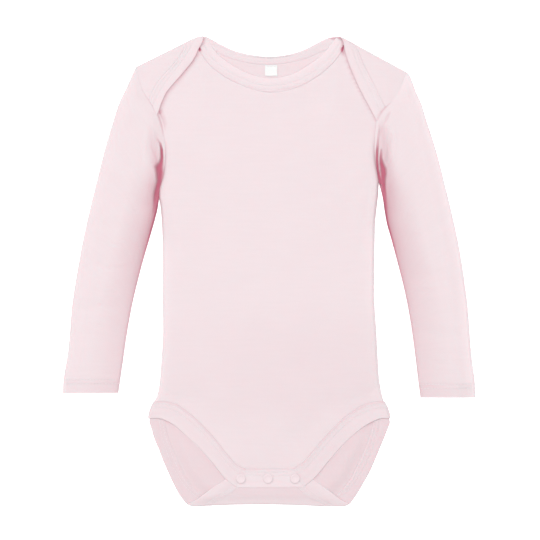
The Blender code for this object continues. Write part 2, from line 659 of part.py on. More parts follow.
def crotch_placket_front():
    rails = [even(np.array(PLACKET[key], float), 8) for key in ("seam", "edge")]
    strip("crotch_placket_front", flat_stations(*rails, CROTCH_TOP, UP))


def turned_solid(name, profile, position, finish, steps=20):
    """A solid turned about its own upright axis. The profile runs from the axis below to the axis above."""
    shape = bmesh.new()
    turns = [(math.cos(2 * math.pi * k / steps), math.sin(2 * math.pi * k / steps)) for k in range(steps)]
    rings = []
    for radius, height in profile[1:-1]:
        rings.append([shape.verts.new((radius * c * MM, radius * s * MM, height * MM)) for c, s in turns])
    for tip, ring, turn in ((profile[0], rings[0], -1), (profile[-1], rings[-1], 1)):
        centre = shape.verts.new((0, 0, tip[1] * MM))
        for k in range(steps):
            shape.faces.new([ring[k - 1], ring[k], centre][::turn])
    for near, far in zip(rings[:-1], rings[1:]):
        for k in range(steps):
            shape.faces.new([near[k - 1], near[k], far[k], far[k - 1]])
    bmesh.ops.recalc_face_normals(shape, faces=shape.faces)
    mesh = bpy.data.meshes.new(name)
    shape.to_mesh(mesh)
    shape.free()
    made = place(name, mesh, finish)
    made.location = [value * MM for value in position]


def snaps():
    """Profiles are (radius, height) points: a rounded ring with a sunk middle, and a plain disc."""
    ring_cap = [
        (0, 0), (4.0, 0), (CAP_RADIUS, 0.35), (4.3, 0.95),
        (3.6, 1.15), (2.9, 0.9), (2.5, 0.45), (0, 0.4),
    ]
    stud = [(0, 0), (STUD_RADIUS, 0), (STUD_RADIUS, STUD_HEIGHT), (0, STUD_HEIGHT)]
    for number, (x, y) in enumerate(SNAP_POSITIONS, start=1):
        turned_solid(f"snap_cap_{number}", ring_cap, (x, y, CROTCH_TOP + SEAM), SNAP)
        turned_solid(f"snap_stud_{number}", stud, (x, y, FLAP_TOP + SEAM), STEEL)


def neck_label():
    shape = bmesh.new()
    bmesh.ops.create_cube(shape, size=1.0)
    for corner in shape.verts:
        corner.co = [value * size * MM for value, size in zip(corner.co, LABEL_SIZE)]
    mesh = bpy.data.meshes.new("neck_label")
    shape.to_mesh(mesh)
    shape.free()
    made = place("neck_label", mesh, TAPE)
    height = CLOTH + SEAM + LABEL_SIZE[2] / 2
    made.location = (LABEL_TOP_EDGE[0] * MM, (LABEL_TOP_EDGE[1] - LABEL_SIZE[1] / 2) * MM, height * MM)


back_panel()
front_panel()
sleeve("sleeve_left", LEFT)
sleeve("sleeve_right", RIGHT)
neck_binding_front()
neck_binding_back()
leg_binding("leg_binding_left", LEFT)
leg_binding("leg_binding_right", RIGHT)
crotch_placket_front()
snaps()
neck_label()
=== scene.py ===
import math

import bmesh
import bpy
import numpy as np
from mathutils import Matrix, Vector, noise


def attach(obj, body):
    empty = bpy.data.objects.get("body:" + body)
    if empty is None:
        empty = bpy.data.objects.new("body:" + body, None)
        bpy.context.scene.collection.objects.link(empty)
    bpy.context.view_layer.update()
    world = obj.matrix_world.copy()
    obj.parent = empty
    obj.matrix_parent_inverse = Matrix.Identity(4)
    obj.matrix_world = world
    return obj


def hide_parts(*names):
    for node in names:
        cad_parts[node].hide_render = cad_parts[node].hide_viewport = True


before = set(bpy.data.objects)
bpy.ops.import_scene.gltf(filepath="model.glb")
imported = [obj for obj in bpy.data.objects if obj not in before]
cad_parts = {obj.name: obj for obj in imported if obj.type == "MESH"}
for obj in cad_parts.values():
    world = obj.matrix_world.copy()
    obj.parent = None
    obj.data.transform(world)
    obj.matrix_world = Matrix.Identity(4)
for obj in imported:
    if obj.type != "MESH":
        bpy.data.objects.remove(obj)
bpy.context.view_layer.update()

print("frame loaded:", len(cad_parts), "nodes")

mm = 0.001  # tables and plans are in millimetres, meshes in metres

# walls, and heights of the outer faces above the table, one layer of cloth on another
layers = {
    "cloth": 1.1,  # wall of the panels and sleeves
    "band": 1.5,  # wall of the bindings, which are folded double
    "frontTop": 2.9,
    "frontBand": 3.3,
    "lap": 5.1,
    "flap": 3.6,  # the crotch tab at its fold
    "crotch": 6.7,  # the placket, with the tab under it
    "tuck": 0.4,  # how far a sewn edge reaches past its seam, sunk into the next piece
    "underSleeve": 1.8,  # how far the lap bindings run on under the armhole seam
}
lapBend = layers["lap"] / 2  # the folds are half rounds of these radii
hipBend = layers["frontBand"] / 2
flapBend = layers["flap"] / 2
tabFoldY = -220.9 + flapBend

# the cut as it lies: (x, y) points, left is -X and the neck is towards +Y
leftCut = {
    "sign": -1,
    "fold": [(-125.0, 191.6), (-66.5, 220.8)],
    "armhole": [
        (-125.0, 191.6), (-122.4, 181.5), (-118.8, 170.5), (-108.9, 155.0), (-104.6, 147.0),
        (-101.0, 137.0), (-98.9, 127.0), (-97.5, 115.5), (-97.9, 101.0), (-99.6, 88.0),
        (-102.6, 77.0), (-103.2, 69.0),
    ],
    "side": [
        (-103.2, 69.0), (-101.9, 60.0), (-101.2, 52.0), (-100.2, 32.0), (-99.9, 10.0),
        (-100.3, -22.0), (-99.8, -60.0), (-101.2, -84.0), (-102.5, -101.0), (-104.2, -113.0),
        (-107.2, -122.0),
    ],
    "sleeveOuter": [
        (-125.0, 191.6), (-127.6, 186.0), (-130.8, 179.1), (-135.4, 168.8), (-139.6, 160.3),
        (-146.0, 141.5), (-154.4, 113.3), (-161.5, 85.1), (-168.4, 56.9), (-174.6, 28.7),
        (-181.4, -8.9), (-184.3, -27.7), (-186.2, -46.5), (-187.6, -65.3), (-190.0, -84.1),
        (-193.0, -102.0), (-193.8, -114.5),
    ],
    "sleeveInner": [
        (-103.2, 69.0), (-105.0, 56.9), (-107.4, 47.5), (-112.8, 28.7), (-118.3, 9.9),
        (-123.2, -8.9), (-127.7, -27.7), (-131.4, -46.5), (-134.5, -65.3), (-137.1, -84.1),
        (-139.9, -102.9), (-141.6, -114.4),
    ],
    "lapEdge": [
        (-61.0, 220.2), (-61.9, 215.5), (-63.3, 212.5), (-65.5, 209.3), (-67.8, 203.5),
        (-71.5, 197.0), (-82.5, 183.5), (-96.0, 167.5), (-100.5, 158.0), (-102.5, 152.0),
        (-104.6, 147.0),
    ],
    "lapSeam": [(-76.5, 215.2), (-82.5, 204.0), (-92.0, 192.0), (-107.0, 174.0), (-113.0, 160.0)],
    "legSeam": [
        (-106.2, -122.3), (-96.0, -122.5), (-87.5, -125.0), (-70.5, -137.0), (-54.5, -153.0),
        (-37.5, -174.0), (-30.0, -182.0), (-21.5, -186.0),
    ],
    "legEdge": [
        (-111.8, -138.5), (-102.5, -138.5), (-94.0, -142.0), (-74.5, -158.0), (-54.5, -178.5),
        (-40.0, -196.0), (-31.0, -203.0),
    ],
    "backLegSeam": [
        (-106.2, -122.3), (-101.5, -130.0), (-95.0, -155.0), (-86.0, -178.0), (-71.0, -204.0),
        (-53.0, -219.1),
    ],
    "backLegEdge": [
        (-111.8, -138.5), (-112.6, -141.2), (-111.7, -144.5), (-110.1, -149.5), (-108.6, -155.1),
        (-104.0, -166.4), (-99.7, -177.7), (-94.8, -188.9), (-89.6, -200.2), (-83.3, -211.5),
        (-77.4, -219.1),
    ],
    "flapSeam": [(-53.0, -219.1), (-40.5, -211.5), (-26.0, -201.0), (-16.0, -188.5)],
    "flapEdge": [
        (-77.4, -219.1), (-68.0, -214.4), (-60.0, -208.6), (-51.5, -202.4), (-42.0, -196.4),
        (-31.0, -188.5),
    ],
}
rightCut = {
    "sign": 1,
    "fold": [(129.6, 186.4), (69.2, 219.4)],
    "armhole": [
        (129.6, 186.8), (124.4, 175.0), (116.5, 161.5), (110.0, 154.6), (104.6, 148.6),
        (101.3, 142.4), (100.2, 134.0), (99.4, 124.0), (98.9, 113.5), (103.0, 83.5),
    ],
    "side": [
        (103.0, 83.5), (102.6, 72.0), (101.4, 61.0), (100.0, 48.0), (99.4, 28.0), (99.1, 8.0),
        (98.9, -18.0), (99.4, -35.0), (100.8, -54.0), (102.4, -84.0), (103.7, -103.0),
        (105.1, -111.5), (107.6, -122.5),
    ],
    "sleeveOuter": [
        (129.6, 186.8), (132.4, 182.8), (134.6, 177.5), (138.1, 167.8), (141.8, 160.0),
        (147.8, 141.5), (156.8, 113.3), (164.1, 85.1), (171.0, 56.9), (177.2, 28.7), (183.4, -8.9),
        (185.9, -27.7), (187.6, -46.5), (188.9, -65.3), (190.6, -84.1), (193.0, -102.0),
        (193.8, -118.6),
    ],
    "sleeveInner": [
        (103.0, 83.5), (105.2, 75.7), (107.2, 66.3), (108.5, 56.9), (110.4, 46.0), (115.2, 28.7),
        (120.2, 9.9), (125.1, -8.9), (129.3, -27.7), (132.7, -46.5), (135.5, -65.3), (137.9, -84.1),
        (140.1, -102.9), (142.2, -118.6),
    ],
    "lapEdge": [
        (66.0, 220.1), (68.8, 216.5), (70.2, 211.5), (70.9, 207.0), (73.8, 197.0), (84.1, 172.4),
        (94.6, 152.4), (100.6, 141.0),
    ],
    "lapSeam": [
        (80.0, 213.3), (84.0, 206.5), (88.8, 194.5), (101.0, 171.0), (107.4, 157.5), (109.6, 154.0),
    ],
    "legSeam": [
        (106.6, -122.8), (99.5, -122.9), (91.0, -125.0), (75.0, -134.5), (55.5, -152.5),
        (39.5, -171.0), (31.0, -180.5), (22.5, -186.0),
    ],
    "legEdge": [
        (112.2, -138.5), (105.0, -138.5), (95.0, -142.8), (76.0, -157.0), (56.5, -178.0),
        (41.0, -196.0), (32.0, -203.0),
    ],
    "backLegSeam": [
        (106.6, -122.8), (102.0, -130.0), (95.0, -155.0), (85.5, -178.0), (70.0, -204.0),
        (52.0, -219.1),
    ],
    "backLegEdge": [
        (112.2, -138.5), (113.6, -141.2), (113.0, -144.5), (111.0, -149.5), (108.9, -155.1),
        (104.2, -166.4), (99.5, -177.7), (94.5, -188.9), (88.2, -200.2), (81.4, -211.5),
        (75.9, -219.1),
    ],
    "flapSeam": [(52.0, -219.1), (39.5, -214.0), (26.0, -202.5), (16.0, -188.5)],
    "flapEdge": [
        (75.9, -219.1), (67.0, -214.0), (61.0, -209.6), (52.0, -203.0), (43.0, -196.4),
        (32.0, -188.5),
    ],
}
neckCut = {
    "frontSeam": [
        (-72.0, 217.5), (-64.0, 205.0), (-56.5, 194.5), (-43.0, 183.5), (-26.5, 175.0),
        (0.0, 168.0), (30.0, 174.0), (47.0, 184.0), (61.0, 196.5), (67.5, 205.0), (76.0, 216.5),
    ],
    "frontEdge": [
        (-58.5, 221.0), (-54.0, 212.0), (-46.0, 202.0), (-34.0, 193.5), (-18.5, 185.5),
        (0.5, 181.5), (20.0, 184.5), (36.0, 193.0), (49.0, 202.5), (57.0, 211.5), (64.0, 220.5),
    ],
    "backSeam": [
        (-76.5, 215.2), (-53.5, 208.5), (-41.5, 202.0), (-22.5, 196.0), (0.0, 194.0), (20.0, 196.0),
        (38.5, 201.0), (52.5, 207.5), (80.0, 213.3),
    ],
    "backEdge": [
        (-61.0, 220.2), (-56.2, 218.9), (-49.7, 215.3), (-42.7, 211.5), (-34.3, 207.6),
        (-21.2, 204.0), (-7.7, 202.0), (1.0, 201.3), (9.0, 202.0), (20.7, 204.0), (32.1, 207.6),
        (40.2, 211.5), (47.6, 215.3), (55.1, 218.9), (60.0, 220.2), (66.0, 220.1),
    ],
}


# curves on the plan: a smooth one through the points of a table
def smoothCurve(points, perSpan=14):
    points = np.array(points, float)
    steps = np.linalg.norm(np.diff(points, axis=0), axis=1)
    knots = np.concatenate([[0.0], np.cumsum(steps)])
    slopes = np.gradient(points, knots, axis=0)
    t = np.linspace(0.0, 1.0, perSpan, endpoint=False)[:, None]
    spans = []
    for i, step in enumerate(steps):
        leave, arrive = slopes[i] * step, slopes[i + 1] * step
        blend = (2 * t**3 - 3 * t**2 + 1) * points[i] + (3 * t**2 - 2 * t**3) * points[i + 1]
        spans.append(blend + (t**3 - 2 * t**2 + t) * leave + (t**3 - t**2) * arrive)
    return np.vstack([*spans, points[-1:]])


def runLength(line):
    return np.concatenate([[0.0], np.cumsum(np.linalg.norm(np.diff(line, axis=0), axis=1))])


def pointsAt(line, distances):  # the points of a line at distances along it
    along = runLength(line)
    return np.stack([np.interp(distances, along, line[:, k]) for k in range(line.shape[1])], axis=1)


def evenly(line, segments):  # the same line in equal steps
    return pointsAt(line, np.linspace(0.0, runLength(line)[-1], segments + 1))


def fromEdge(line, steps, segments):  # small steps first, then even ones
    rest = np.linspace(steps[-1], runLength(line)[-1], segments + 1)[1:]
    return pointsAt(line, np.concatenate([steps, rest]))


def shifted(line, distance):  # to the left of the line's direction
    direction = np.gradient(line, axis=0)
    direction /= np.linalg.norm(direction, axis=1)[:, None]
    return line + distance * np.stack([-direction[:, 1], direction[:, 0]], axis=1)


def chained(*lines):  # lines joined end to end
    return np.vstack([lines[0], *[line[1:] for line in lines[1:]]])


def ease(value):  # from 0 to 1 with soft ends
    value = np.clip(value, 0.0, 1.0)
    return value * value * (3 - 2 * value)


def fade(value, start, reach):  # 0 at the start, 1 a reach further on, or back if it's below 0
    return ease((value - start) / reach)


def nearLine(points, line):  # distance to a polyline, and how far along it the nearest place is
    nearest = np.full(points.shape[:-1], np.inf)
    where = np.zeros(points.shape[:-1])
    for i, (start, end) in enumerate(zip(line[:-1], line[1:])):
        span = end - start
        t = np.clip(((points - start) @ span) / max(span @ span, 1e-9), 0.0, 1.0)
        gap = np.linalg.norm(points - start - t[..., None] * span, axis=-1)
        where = np.where(gap < nearest, i + t, where)
        nearest = np.minimum(nearest, gap)
    return nearest, where


def meanShares(*lines):  # how far along its lines each point is, on the mean of both
    lengths = [runLength(line) for line in lines]
    return (lengths[0] / lengths[0][-1] + lengths[1] / lengths[1][-1]) / 2


def coonsRows(bottom, top, start, end):  # a grid of points between four edge lines
    v = meanShares(start, end)[:, None, None]
    u = meanShares(bottom, top)[None, :, None]
    across = (1 - v) * bottom[None] + v * top[None]
    along = (1 - u) * start[:, None] + u * end[:, None]
    corners = (1 - v) * ((1 - u) * start[0] + u * end[0]) + v * ((1 - u) * start[-1] + u * end[-1])
    return across + along - corners


def lifted(plan, height):  # points of the plan at their heights
    height = np.broadcast_to(height, plan.shape[:-1])
    return np.concatenate([plan, height[..., None]], axis=-1)


class Side:  # the left or the right half of the garment
    def __init__(self, name, cut):
        self.name = name
        self.sign = cut["sign"]
        self.curves = {name: smoothCurve(cut[name]) for name in cut.keys() - {"sign", "fold"}}
        self.foldStart = np.array(cut["fold"][0], float)
        along = np.array(cut["fold"][1], float) - self.foldStart
        along /= np.linalg.norm(along)
        self.outward = np.array([along[1], -along[0]]) * self.sign

    def depth(self, points):  # distance inwards from the shoulder fold
        return -(points - self.foldStart) @ self.outward

    def atDepth(self, line, depths):  # where a line reaches these depths
        reach = np.maximum.accumulate(self.depth(line))
        return np.stack([np.interp(depths, reach, line[:, k]) for k in range(2)], axis=1)


left, right = Side("left", leftCut), Side("right", rightCut)
neck = {name: smoothCurve(points) for name, points in neckCut.items()}


# creases: a path with its half-width, its height and how deep its painted shade is, from end to end.
# Those with a "steep" value are cut off sharply at their sides.
def creased(points, creases):
    relief = np.zeros(points.shape[:-1])
    shade = np.zeros(points.shape[:-1])
    for crease in creases:
        path = np.array(crease["path"], float)
        gap, where = nearLine(points, path)

        def along(value):
            return np.interp(where, np.linspace(0, len(path) - 1, np.size(value)), np.ravel(value))

        profile = np.exp(-((gap / along(crease["width"])) ** crease.get("steep", 2)))
        relief += along(crease.get("height", 0.0)) * profile
        shade = np.maximum(shade, along(crease.get("shade", 0.0)) * profile)
    return relief, shade


def creaseRows(rows):  # plain creases, without painted shade of their own
    return [{"path": path, "width": width, "height": height} for path, width, height in rows]


def deeper(shade, more):  # one painted shade over another, where painted light only lifts what is still light
    return np.where(more > 0, 1 - (1 - shade) * (1 - more), shade + more * (1 - np.clip(shade, 0, 1)))


def rumple(points, size, seed):  # broad unevenness of soft cloth, from -1 to 1
    flat = points.reshape(-1, points.shape[-1])
    values = [noise.noise(Vector((p[0] / size, p[1] / size, seed))) for p in flat]
    return np.array(values).reshape(points.shape[:-1])


def crumple(points, parts):  # rumples of several sizes on each other
    return sum(share * rumple(points, size, seed) for share, size, seed in parts)


def groove(distance, depth, width):  # how far cloth sinks in beside a seam
    return depth * np.exp(-((distance / width) ** 2))


# meshes: every piece rides on the one body
def addPiece(name, mesh, replaced):
    piece = bpy.data.objects.new(name, mesh)
    bpy.context.scene.collection.objects.link(piece)
    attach(piece, "root")
    if replaced:
        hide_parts(*replaced)
    return piece


def finishMesh(piece, sharpAngle):
    graph = bpy.context.evaluated_depsgraph_get()
    fixed = bpy.data.meshes.new_from_object(piece.evaluated_get(graph))
    piece.modifiers.clear()
    piece.data = fixed
    fixed.name = piece.name
    fixed.shade_smooth()
    fixed.set_sharp_from_angle(angle=math.radians(sharpAngle))


settling = {
    "peak": (218.6, 3.2),  # the shoulder peaks are blunt above this height
    "hip": (1.5, -120.0, -140.0),  # how far the leg bindings bulge at the hips, and where
    "hipOut": (94.0, 14.0),  # from where outwards, and over what width
    "crotch": (1.7, -8.5, 56.5),  # how far the lower fold draws up, its middle and half its width
    "crotchDown": (-205.0, -12.0),
    "corner": 3.6,  # how far the ends of the lower fold are rounded in
    "cornerOut": (62.0, 12.0),
    "cornerDown": (-218.4, -2.5),
}


def settled(points):
    x, y, z = points.T
    start, soft = settling["peak"]
    over = np.maximum(y - start, 0.0)
    bulge, high, low = settling["hip"]
    out = np.abs(x)
    turn = np.sin(np.clip((high - y) / (high - low), 0.0, 1.0) * math.pi)
    turn = turn * fade(out, *settling["hipOut"])
    draw, middle, half = settling["crotch"]
    arch = np.clip(1 - ((x - middle) / half) ** 2, 0.0, 1.0)
    drawn = draw * arch * fade(y, *settling["crotchDown"])
    corner = fade(y, *settling["cornerDown"]), fade(out, *settling["cornerOut"])
    rounded = settling["corner"] * corner[0] * corner[1]
    blunt = y - over + soft * (1 - np.exp(-over / soft))
    return np.stack([x + np.sign(x) * (bulge * turn - rounded), blunt + drawn, z], axis=1)


def rawMesh(name, points, faces, weave, shade):  # points and weave are in millimetres
    mesh = bpy.data.meshes.new(name)
    mesh.from_pydata((settled(points) * mm).tolist(), [], faces)
    corners = np.zeros(len(mesh.loops), np.int32)
    mesh.loops.foreach_get("vertex_index", corners)
    layer = mesh.uv_layers.new(name="weave")
    layer.data.foreach_set("uv", (weave[corners] * mm).astype(np.float32).ravel())
    # the shade attribute is painted shade per point, below 0 painted light
    mask = mesh.attributes.new("shade", "FLOAT", "POINT")
    mask.data.foreach_set("value", shade.astype(np.float32))
    return mesh


def gridFaces(rows, columns, start, flip):
    made = []
    for r in range(rows - 1):
        for c in range(columns - 1):
            a = start + r * columns + c
            face = (a, a + 1, a + columns + 1, a + columns)
            made.append(face[::-1] if flip else face)
    return made


panelLook = {"weld": 0.01, "rim": 0.3, "rimFrom": 60, "sharpFrom": 50}  # the angles are in degrees


# a panel of cloth from grids of its outer face, thickened inwards
def clothPanel(name, grids, replaced, flip=False):
    points, weave, shade, faces, start = [], [], [], [], 0
    # each grid comes with its painted shade
    for grid, mask in grids:
        points.append(grid.reshape(-1, 3))
        weave.append(grid[..., :2].reshape(-1, 2))
        shade.append(np.broadcast_to(mask, grid.shape[:-1]).ravel())
        faces += gridFaces(grid.shape[0], grid.shape[1], start, flip)
        start += grid.shape[0] * grid.shape[1]
    mesh = rawMesh(name, np.vstack(points), faces, np.vstack(weave), np.concatenate(shade))
    if len(grids) > 1:
        shape = bmesh.new()
        shape.from_mesh(mesh)
        bmesh.ops.remove_doubles(shape, verts=shape.verts, dist=panelLook["weld"] * mm)
        shape.to_mesh(mesh)
        shape.free()
    piece = addPiece(name, mesh, replaced)
    wall = piece.modifiers.new("wall", "SOLIDIFY")
    wall.thickness = layers["cloth"] * mm
    wall.offset = -1.0
    wall.use_even_offset = True
    rim = piece.modifiers.new("rim", "BEVEL")
    rim.width = panelLook["rim"] * mm
    rim.segments = 2
    rim.limit_method = "ANGLE"
    rim.angle_limit = math.radians(panelLook["rimFrom"])
    finishMesh(piece, panelLook["sharpFrom"])
    return piece


# a closed form lofted through rings of points, with its ends capped or joined in a loop
def ringSolid(name, rings, weave, shade, replaced, loop=False, sharpAngle=50):
    count = len(rings[0])
    points = np.vstack(rings)
    faces = []
    last = len(rings) if loop else len(rings) - 1
    for r in range(last):
        near, far = r * count, (r + 1) % len(rings) * count
        for k in range(count):
            back = (k - 1) % count
            faces.append((near + back, near + k, far + k, far + back))
    if not loop:
        faces.append(tuple(range(count)))
        faces.append(tuple(range(len(points) - 1, len(points) - count - 1, -1)))
    mesh = rawMesh(name, points, faces, weave, shade)
    shape = bmesh.new()
    shape.from_mesh(mesh)
    bmesh.ops.recalc_face_normals(shape, faces=shape.faces)
    shape.to_mesh(mesh)
    shape.free()
    mesh.shade_smooth()
    mesh.set_sharp_from_angle(angle=math.radians(sharpAngle))
    return addPiece(name, mesh, replaced)


# node groups, each made once and placed in the materials with its own values
class Group:
    def __init__(self, name, inputs, outputs):
        self.tree = bpy.data.node_groups.new(name, "ShaderNodeTree")
        for label, kind, value in inputs:
            socket = self.addSocket(label, "INPUT", kind)
            if value is not None:
                socket.default_value = value
        for label, kind in outputs:
            self.addSocket(label, "OUTPUT", kind)
        self.source = self.tree.nodes.new("NodeGroupInput").outputs
        self.result = self.tree.nodes.new("NodeGroupOutput").inputs

    def addSocket(self, label, side, kind):
        return self.tree.interface.new_socket(label, in_out=side, socket_type="NodeSocket" + kind)

    def node(self, kind, inputs=(), **settings):
        made = self.tree.nodes.new(kind)
        for key, value in settings.items():
            setattr(made, key, value)
        for socket, value in dict(inputs).items():
            self.feed(made.inputs[socket], value)
        return made

    def feed(self, socket, value):
        if isinstance(value, bpy.types.NodeSocket):
            self.tree.links.new(value, socket)
        else:
            socket.default_value = value

    def sums(self, operation, first, second=0.0, third=0.0):
        values = {0: first, 1: second}
        if operation in ("MULTIPLY_ADD", "COMPARE"):
            values[2] = third
        return self.node("ShaderNodeMath", values, operation=operation).outputs[0]

    def noise(self, place, scale, detail):
        inputs = {"Vector": place, "Scale": scale, "Detail": detail}
        return self.node("ShaderNodeTexNoise", inputs).outputs[0]

    def mix(self, share, first, second, blend="MIX"):
        made = self.node("ShaderNodeMix", data_type="RGBA", blend_type=blend)
        for socket, value in ((0, share), (6, first), (7, second)):
            self.feed(made.inputs[socket], value)
        return made.outputs[2]


def makeKnitGroup():
    group = Group(
        "interlockKnit",
        [("Weave", "Vector", None), ("Wales per metre", "Float", 1450.0),
         ("Courses per metre", "Float", 1650.0), ("Fuzz", "Float", 0.35)],
        [("Height", "Float"), ("Groove", "Float")],
    )
    place = group.node("ShaderNodeSeparateXYZ", {0: group.source["Weave"]}).outputs
    wale = group.sums("FRACT", group.sums("MULTIPLY", place[0], group.source["Wales per metre"]))
    # 0 on a wale and 1 between two
    aside = group.sums("ABSOLUTE", group.sums("MULTIPLY_ADD", wale, 2.0, -1.0))
    course = group.sums("MULTIPLY", place[1], group.source["Courses per metre"])
    # the legs of each stitch lean
    loop = group.sums("FRACT", group.sums("MULTIPLY_ADD", aside, 0.5, course))
    rise = group.sums("SINE", group.sums("MULTIPLY", loop, math.pi))
    crown = group.sums("SUBTRACT", 1.0, group.sums("MULTIPLY", aside, aside))
    stitch = group.sums("MULTIPLY", crown, group.sums("MULTIPLY_ADD", rise, 0.45, 0.55))
    fibre = group.noise(group.source["Weave"], 3200.0, 3.0)
    fuzz = group.sums("MULTIPLY", group.sums("SUBTRACT", fibre, 0.5), group.source["Fuzz"])
    height = group.sums("ADD", stitch, fuzz)
    group.feed(group.result["Height"], height)
    group.feed(group.result["Groove"], group.sums("SUBTRACT", 1.0, stitch))
    return group.tree


def makeToneGroup():
    group = Group(
        "clothToneAndShade",
        [("Cloth", "Color", (0.8, 0.7, 0.7, 1)), ("Shaded cloth", "Color", (0.5, 0.2, 0.25, 1)),
         ("Gap shadow", "Color", (0.05, 0.01, 0.02, 1)), ("Place", "Vector", None),
         ("Groove", "Float", 0.0), ("Groove shade", "Float", 0.1), ("Unevenness", "Float", 0.04),
         ("Shade", "Float", 0.0)],
        [("Color", "Color"), ("Roughness", "Float")],
    )
    drift = group.noise(group.source["Place"], 22.0, 2.0)
    stretch = {"Vector": group.source["Place"], "Scale": (30.0, 420.0, 1.0)}
    slub = group.noise(group.node("ShaderNodeMapping", stretch).outputs[0], 1.0, 1.0)
    uneven = group.sums("MULTIPLY_ADD", slub, 0.6, group.sums("MULTIPLY", drift, 0.4))
    uneven = group.sums("MULTIPLY", group.sums("SUBTRACT", uneven, 0.5), group.source["Unevenness"])
    # painted shade in the grooves between stitches, plies or threads
    groove = group.sums("MULTIPLY", group.source["Groove"], group.source["Groove shade"])
    # a shade below 0 is painted light that makes the cloth lighter, from 0 to 1 painted shade towards
    # the shaded cloth colour, and above 1 a painted shadow as dark as a gap
    paler = group.sums("MINIMUM", group.source["Shade"], 0.0)
    dim = group.sums("SUBTRACT", group.sums("ADD", 1.0, uneven), group.sums("ADD", groove, paler))
    grey = group.node("ShaderNodeCombineColor", {0: dim, 1: dim, 2: dim}).outputs[0]
    toned = group.mix(1.0, group.source["Cloth"], grey, "MULTIPLY")
    deep = group.mix(group.source["Shade"], toned, group.source["Shaded cloth"])
    beyond = group.sums("MAXIMUM", group.sums("SUBTRACT", group.source["Shade"], 1.0), 0.0)
    group.feed(group.result["Color"], group.mix(beyond, deep, group.source["Gap shadow"]))
    group.feed(group.result["Roughness"], group.sums("MULTIPLY_ADD", groove, 0.4, 0.86))
    return group.tree


def makeTwistGroup():
    group = Group(
        "threadTwist",
        [("Weave", "Vector", None), ("Turns per metre", "Float", 1900.0)],
        [("Height", "Float"), ("Groove", "Float")],
    )
    place = group.node("ShaderNodeSeparateXYZ", {0: group.source["Weave"]}).outputs
    turns = group.source["Turns per metre"]
    along = group.sums("MULTIPLY", place[1], turns)
    turn = group.sums("FRACT", group.sums("MULTIPLY_ADD", place[0], turns, along))
    ply = group.sums("SINE", group.sums("MULTIPLY", turn, math.pi))
    group.feed(group.result["Height"], ply)
    group.feed(group.result["Groove"], group.sums("SUBTRACT", 1.0, ply))
    return group.tree


def makeTapeGroup():
    group = Group(
        "tapeWeave",
        [("Weave", "Vector", None), ("Threads per metre", "Float", 3600.0)],
        [("Height", "Float"), ("Groove", "Float")],
    )
    place = group.node("ShaderNodeSeparateXYZ", {0: group.source["Weave"]}).outputs
    warp = group.sums("MULTIPLY", place[0], group.source["Threads per metre"])
    weft = group.sums("MULTIPLY", place[1], group.source["Threads per metre"])
    over = group.sums("SINE", group.sums("MULTIPLY", group.sums("ADD", warp, weft), math.pi))
    cross = group.sums("SINE", group.sums("MULTIPLY", weft, math.pi))
    height = group.sums("MULTIPLY_ADD", over, 0.3, group.sums("MULTIPLY_ADD", cross, 0.2, 0.5))
    group.feed(group.result["Height"], height)
    group.feed(group.result["Groove"], group.sums("SUBTRACT", 1.0, height))
    return group.tree


def makeEnamelGroup():
    group = Group(
        "enamelWear",
        [("Enamel", "Color", (0.8, 0.7, 0.7, 1)), ("Worn", "Color", (0.7, 0.7, 0.7, 1)),
         ("Wear", "Float", 0.2)],
        [("Color", "Color"), ("Roughness", "Float"), ("Height", "Float")],
    )
    place = group.node("ShaderNodeTexCoord").outputs["Object"]
    speck = group.noise(place, 1400.0, 4.0)
    edge = group.node("ShaderNodeNewGeometry").outputs["Pointiness"]
    rubbed = group.sums("MULTIPLY", group.sums("SUBTRACT", edge, 0.52), 8.0)
    wear = group.sums("MULTIPLY", group.sums("ADD", rubbed, speck), group.source["Wear"])
    worn = group.node("ShaderNodeClamp", {0: wear}).outputs[0]
    group.feed(group.result["Color"], group.mix(worn, group.source["Enamel"], group.source["Worn"]))
    group.feed(group.result["Roughness"], group.sums("MULTIPLY_ADD", speck, 0.3, 0.42))
    group.feed(group.result["Height"], speck)
    return group.tree


groups = {
    "knit": makeKnitGroup(),
    "tone": makeToneGroup(),
    "twist": makeTwistGroup(),
    "tape": makeTapeGroup(),
    "enamel": makeEnamelGroup(),
}


# materials
def placeGroup(tree, group, values):
    made = tree.nodes.new("ShaderNodeGroup")
    made.node_tree = group
    for label, value in values.items():
        if isinstance(value, bpy.types.NodeSocket):
            tree.links.new(value, made.inputs[label])
        else:
            made.inputs[label].default_value = value
    return made


def clothMaterial(look):
    made = bpy.data.materials.new(look["name"])
    made.use_nodes = True
    tree = made.node_tree
    shader = tree.nodes["Principled BSDF"]
    weave = tree.nodes.new("ShaderNodeUVMap")
    weave.uv_map = "weave"
    shade = tree.nodes.new("ShaderNodeAttribute")
    shade.attribute_name = "shade"
    values = {"Weave": weave.outputs[0], **look["reliefValues"]}
    relief = placeGroup(tree, groups[look["relief"]], values)
    tone = placeGroup(tree, groups["tone"], {
        "Cloth": (*look["cloth"], 1), "Shaded cloth": (*look["deep"], 1), "Place": weave.outputs[0],
        "Groove": relief.outputs["Groove"], "Groove shade": look["grooveDepth"],
        "Unevenness": look["unevenness"], "Shade": shade.outputs["Fac"],
    })
    bump = tree.nodes.new("ShaderNodeBump")
    bump.inputs["Strength"].default_value = look["bump"]
    bump.inputs["Distance"].default_value = look["bumpHeight"] * mm
    tree.links.new(relief.outputs["Height"], bump.inputs["Height"])
    tree.links.new(bump.outputs[0], shader.inputs["Normal"])
    tree.links.new(tone.outputs["Color"], shader.inputs["Base Color"])
    tree.links.new(tone.outputs["Roughness"], shader.inputs["Roughness"])
    shader.inputs["Sheen Weight"].default_value = look["sheen"]
    shader.inputs["Sheen Roughness"].default_value = 0.5
    shader.inputs["Specular IOR Level"].default_value = look["specular"]
    shader.inputs["Subsurface Weight"].default_value = look["glow"]
    shader.inputs["Subsurface Radius"].default_value = (1.0, 0.45, 0.5)
    shader.inputs["Subsurface Scale"].default_value = 1.2 * mm
    return made


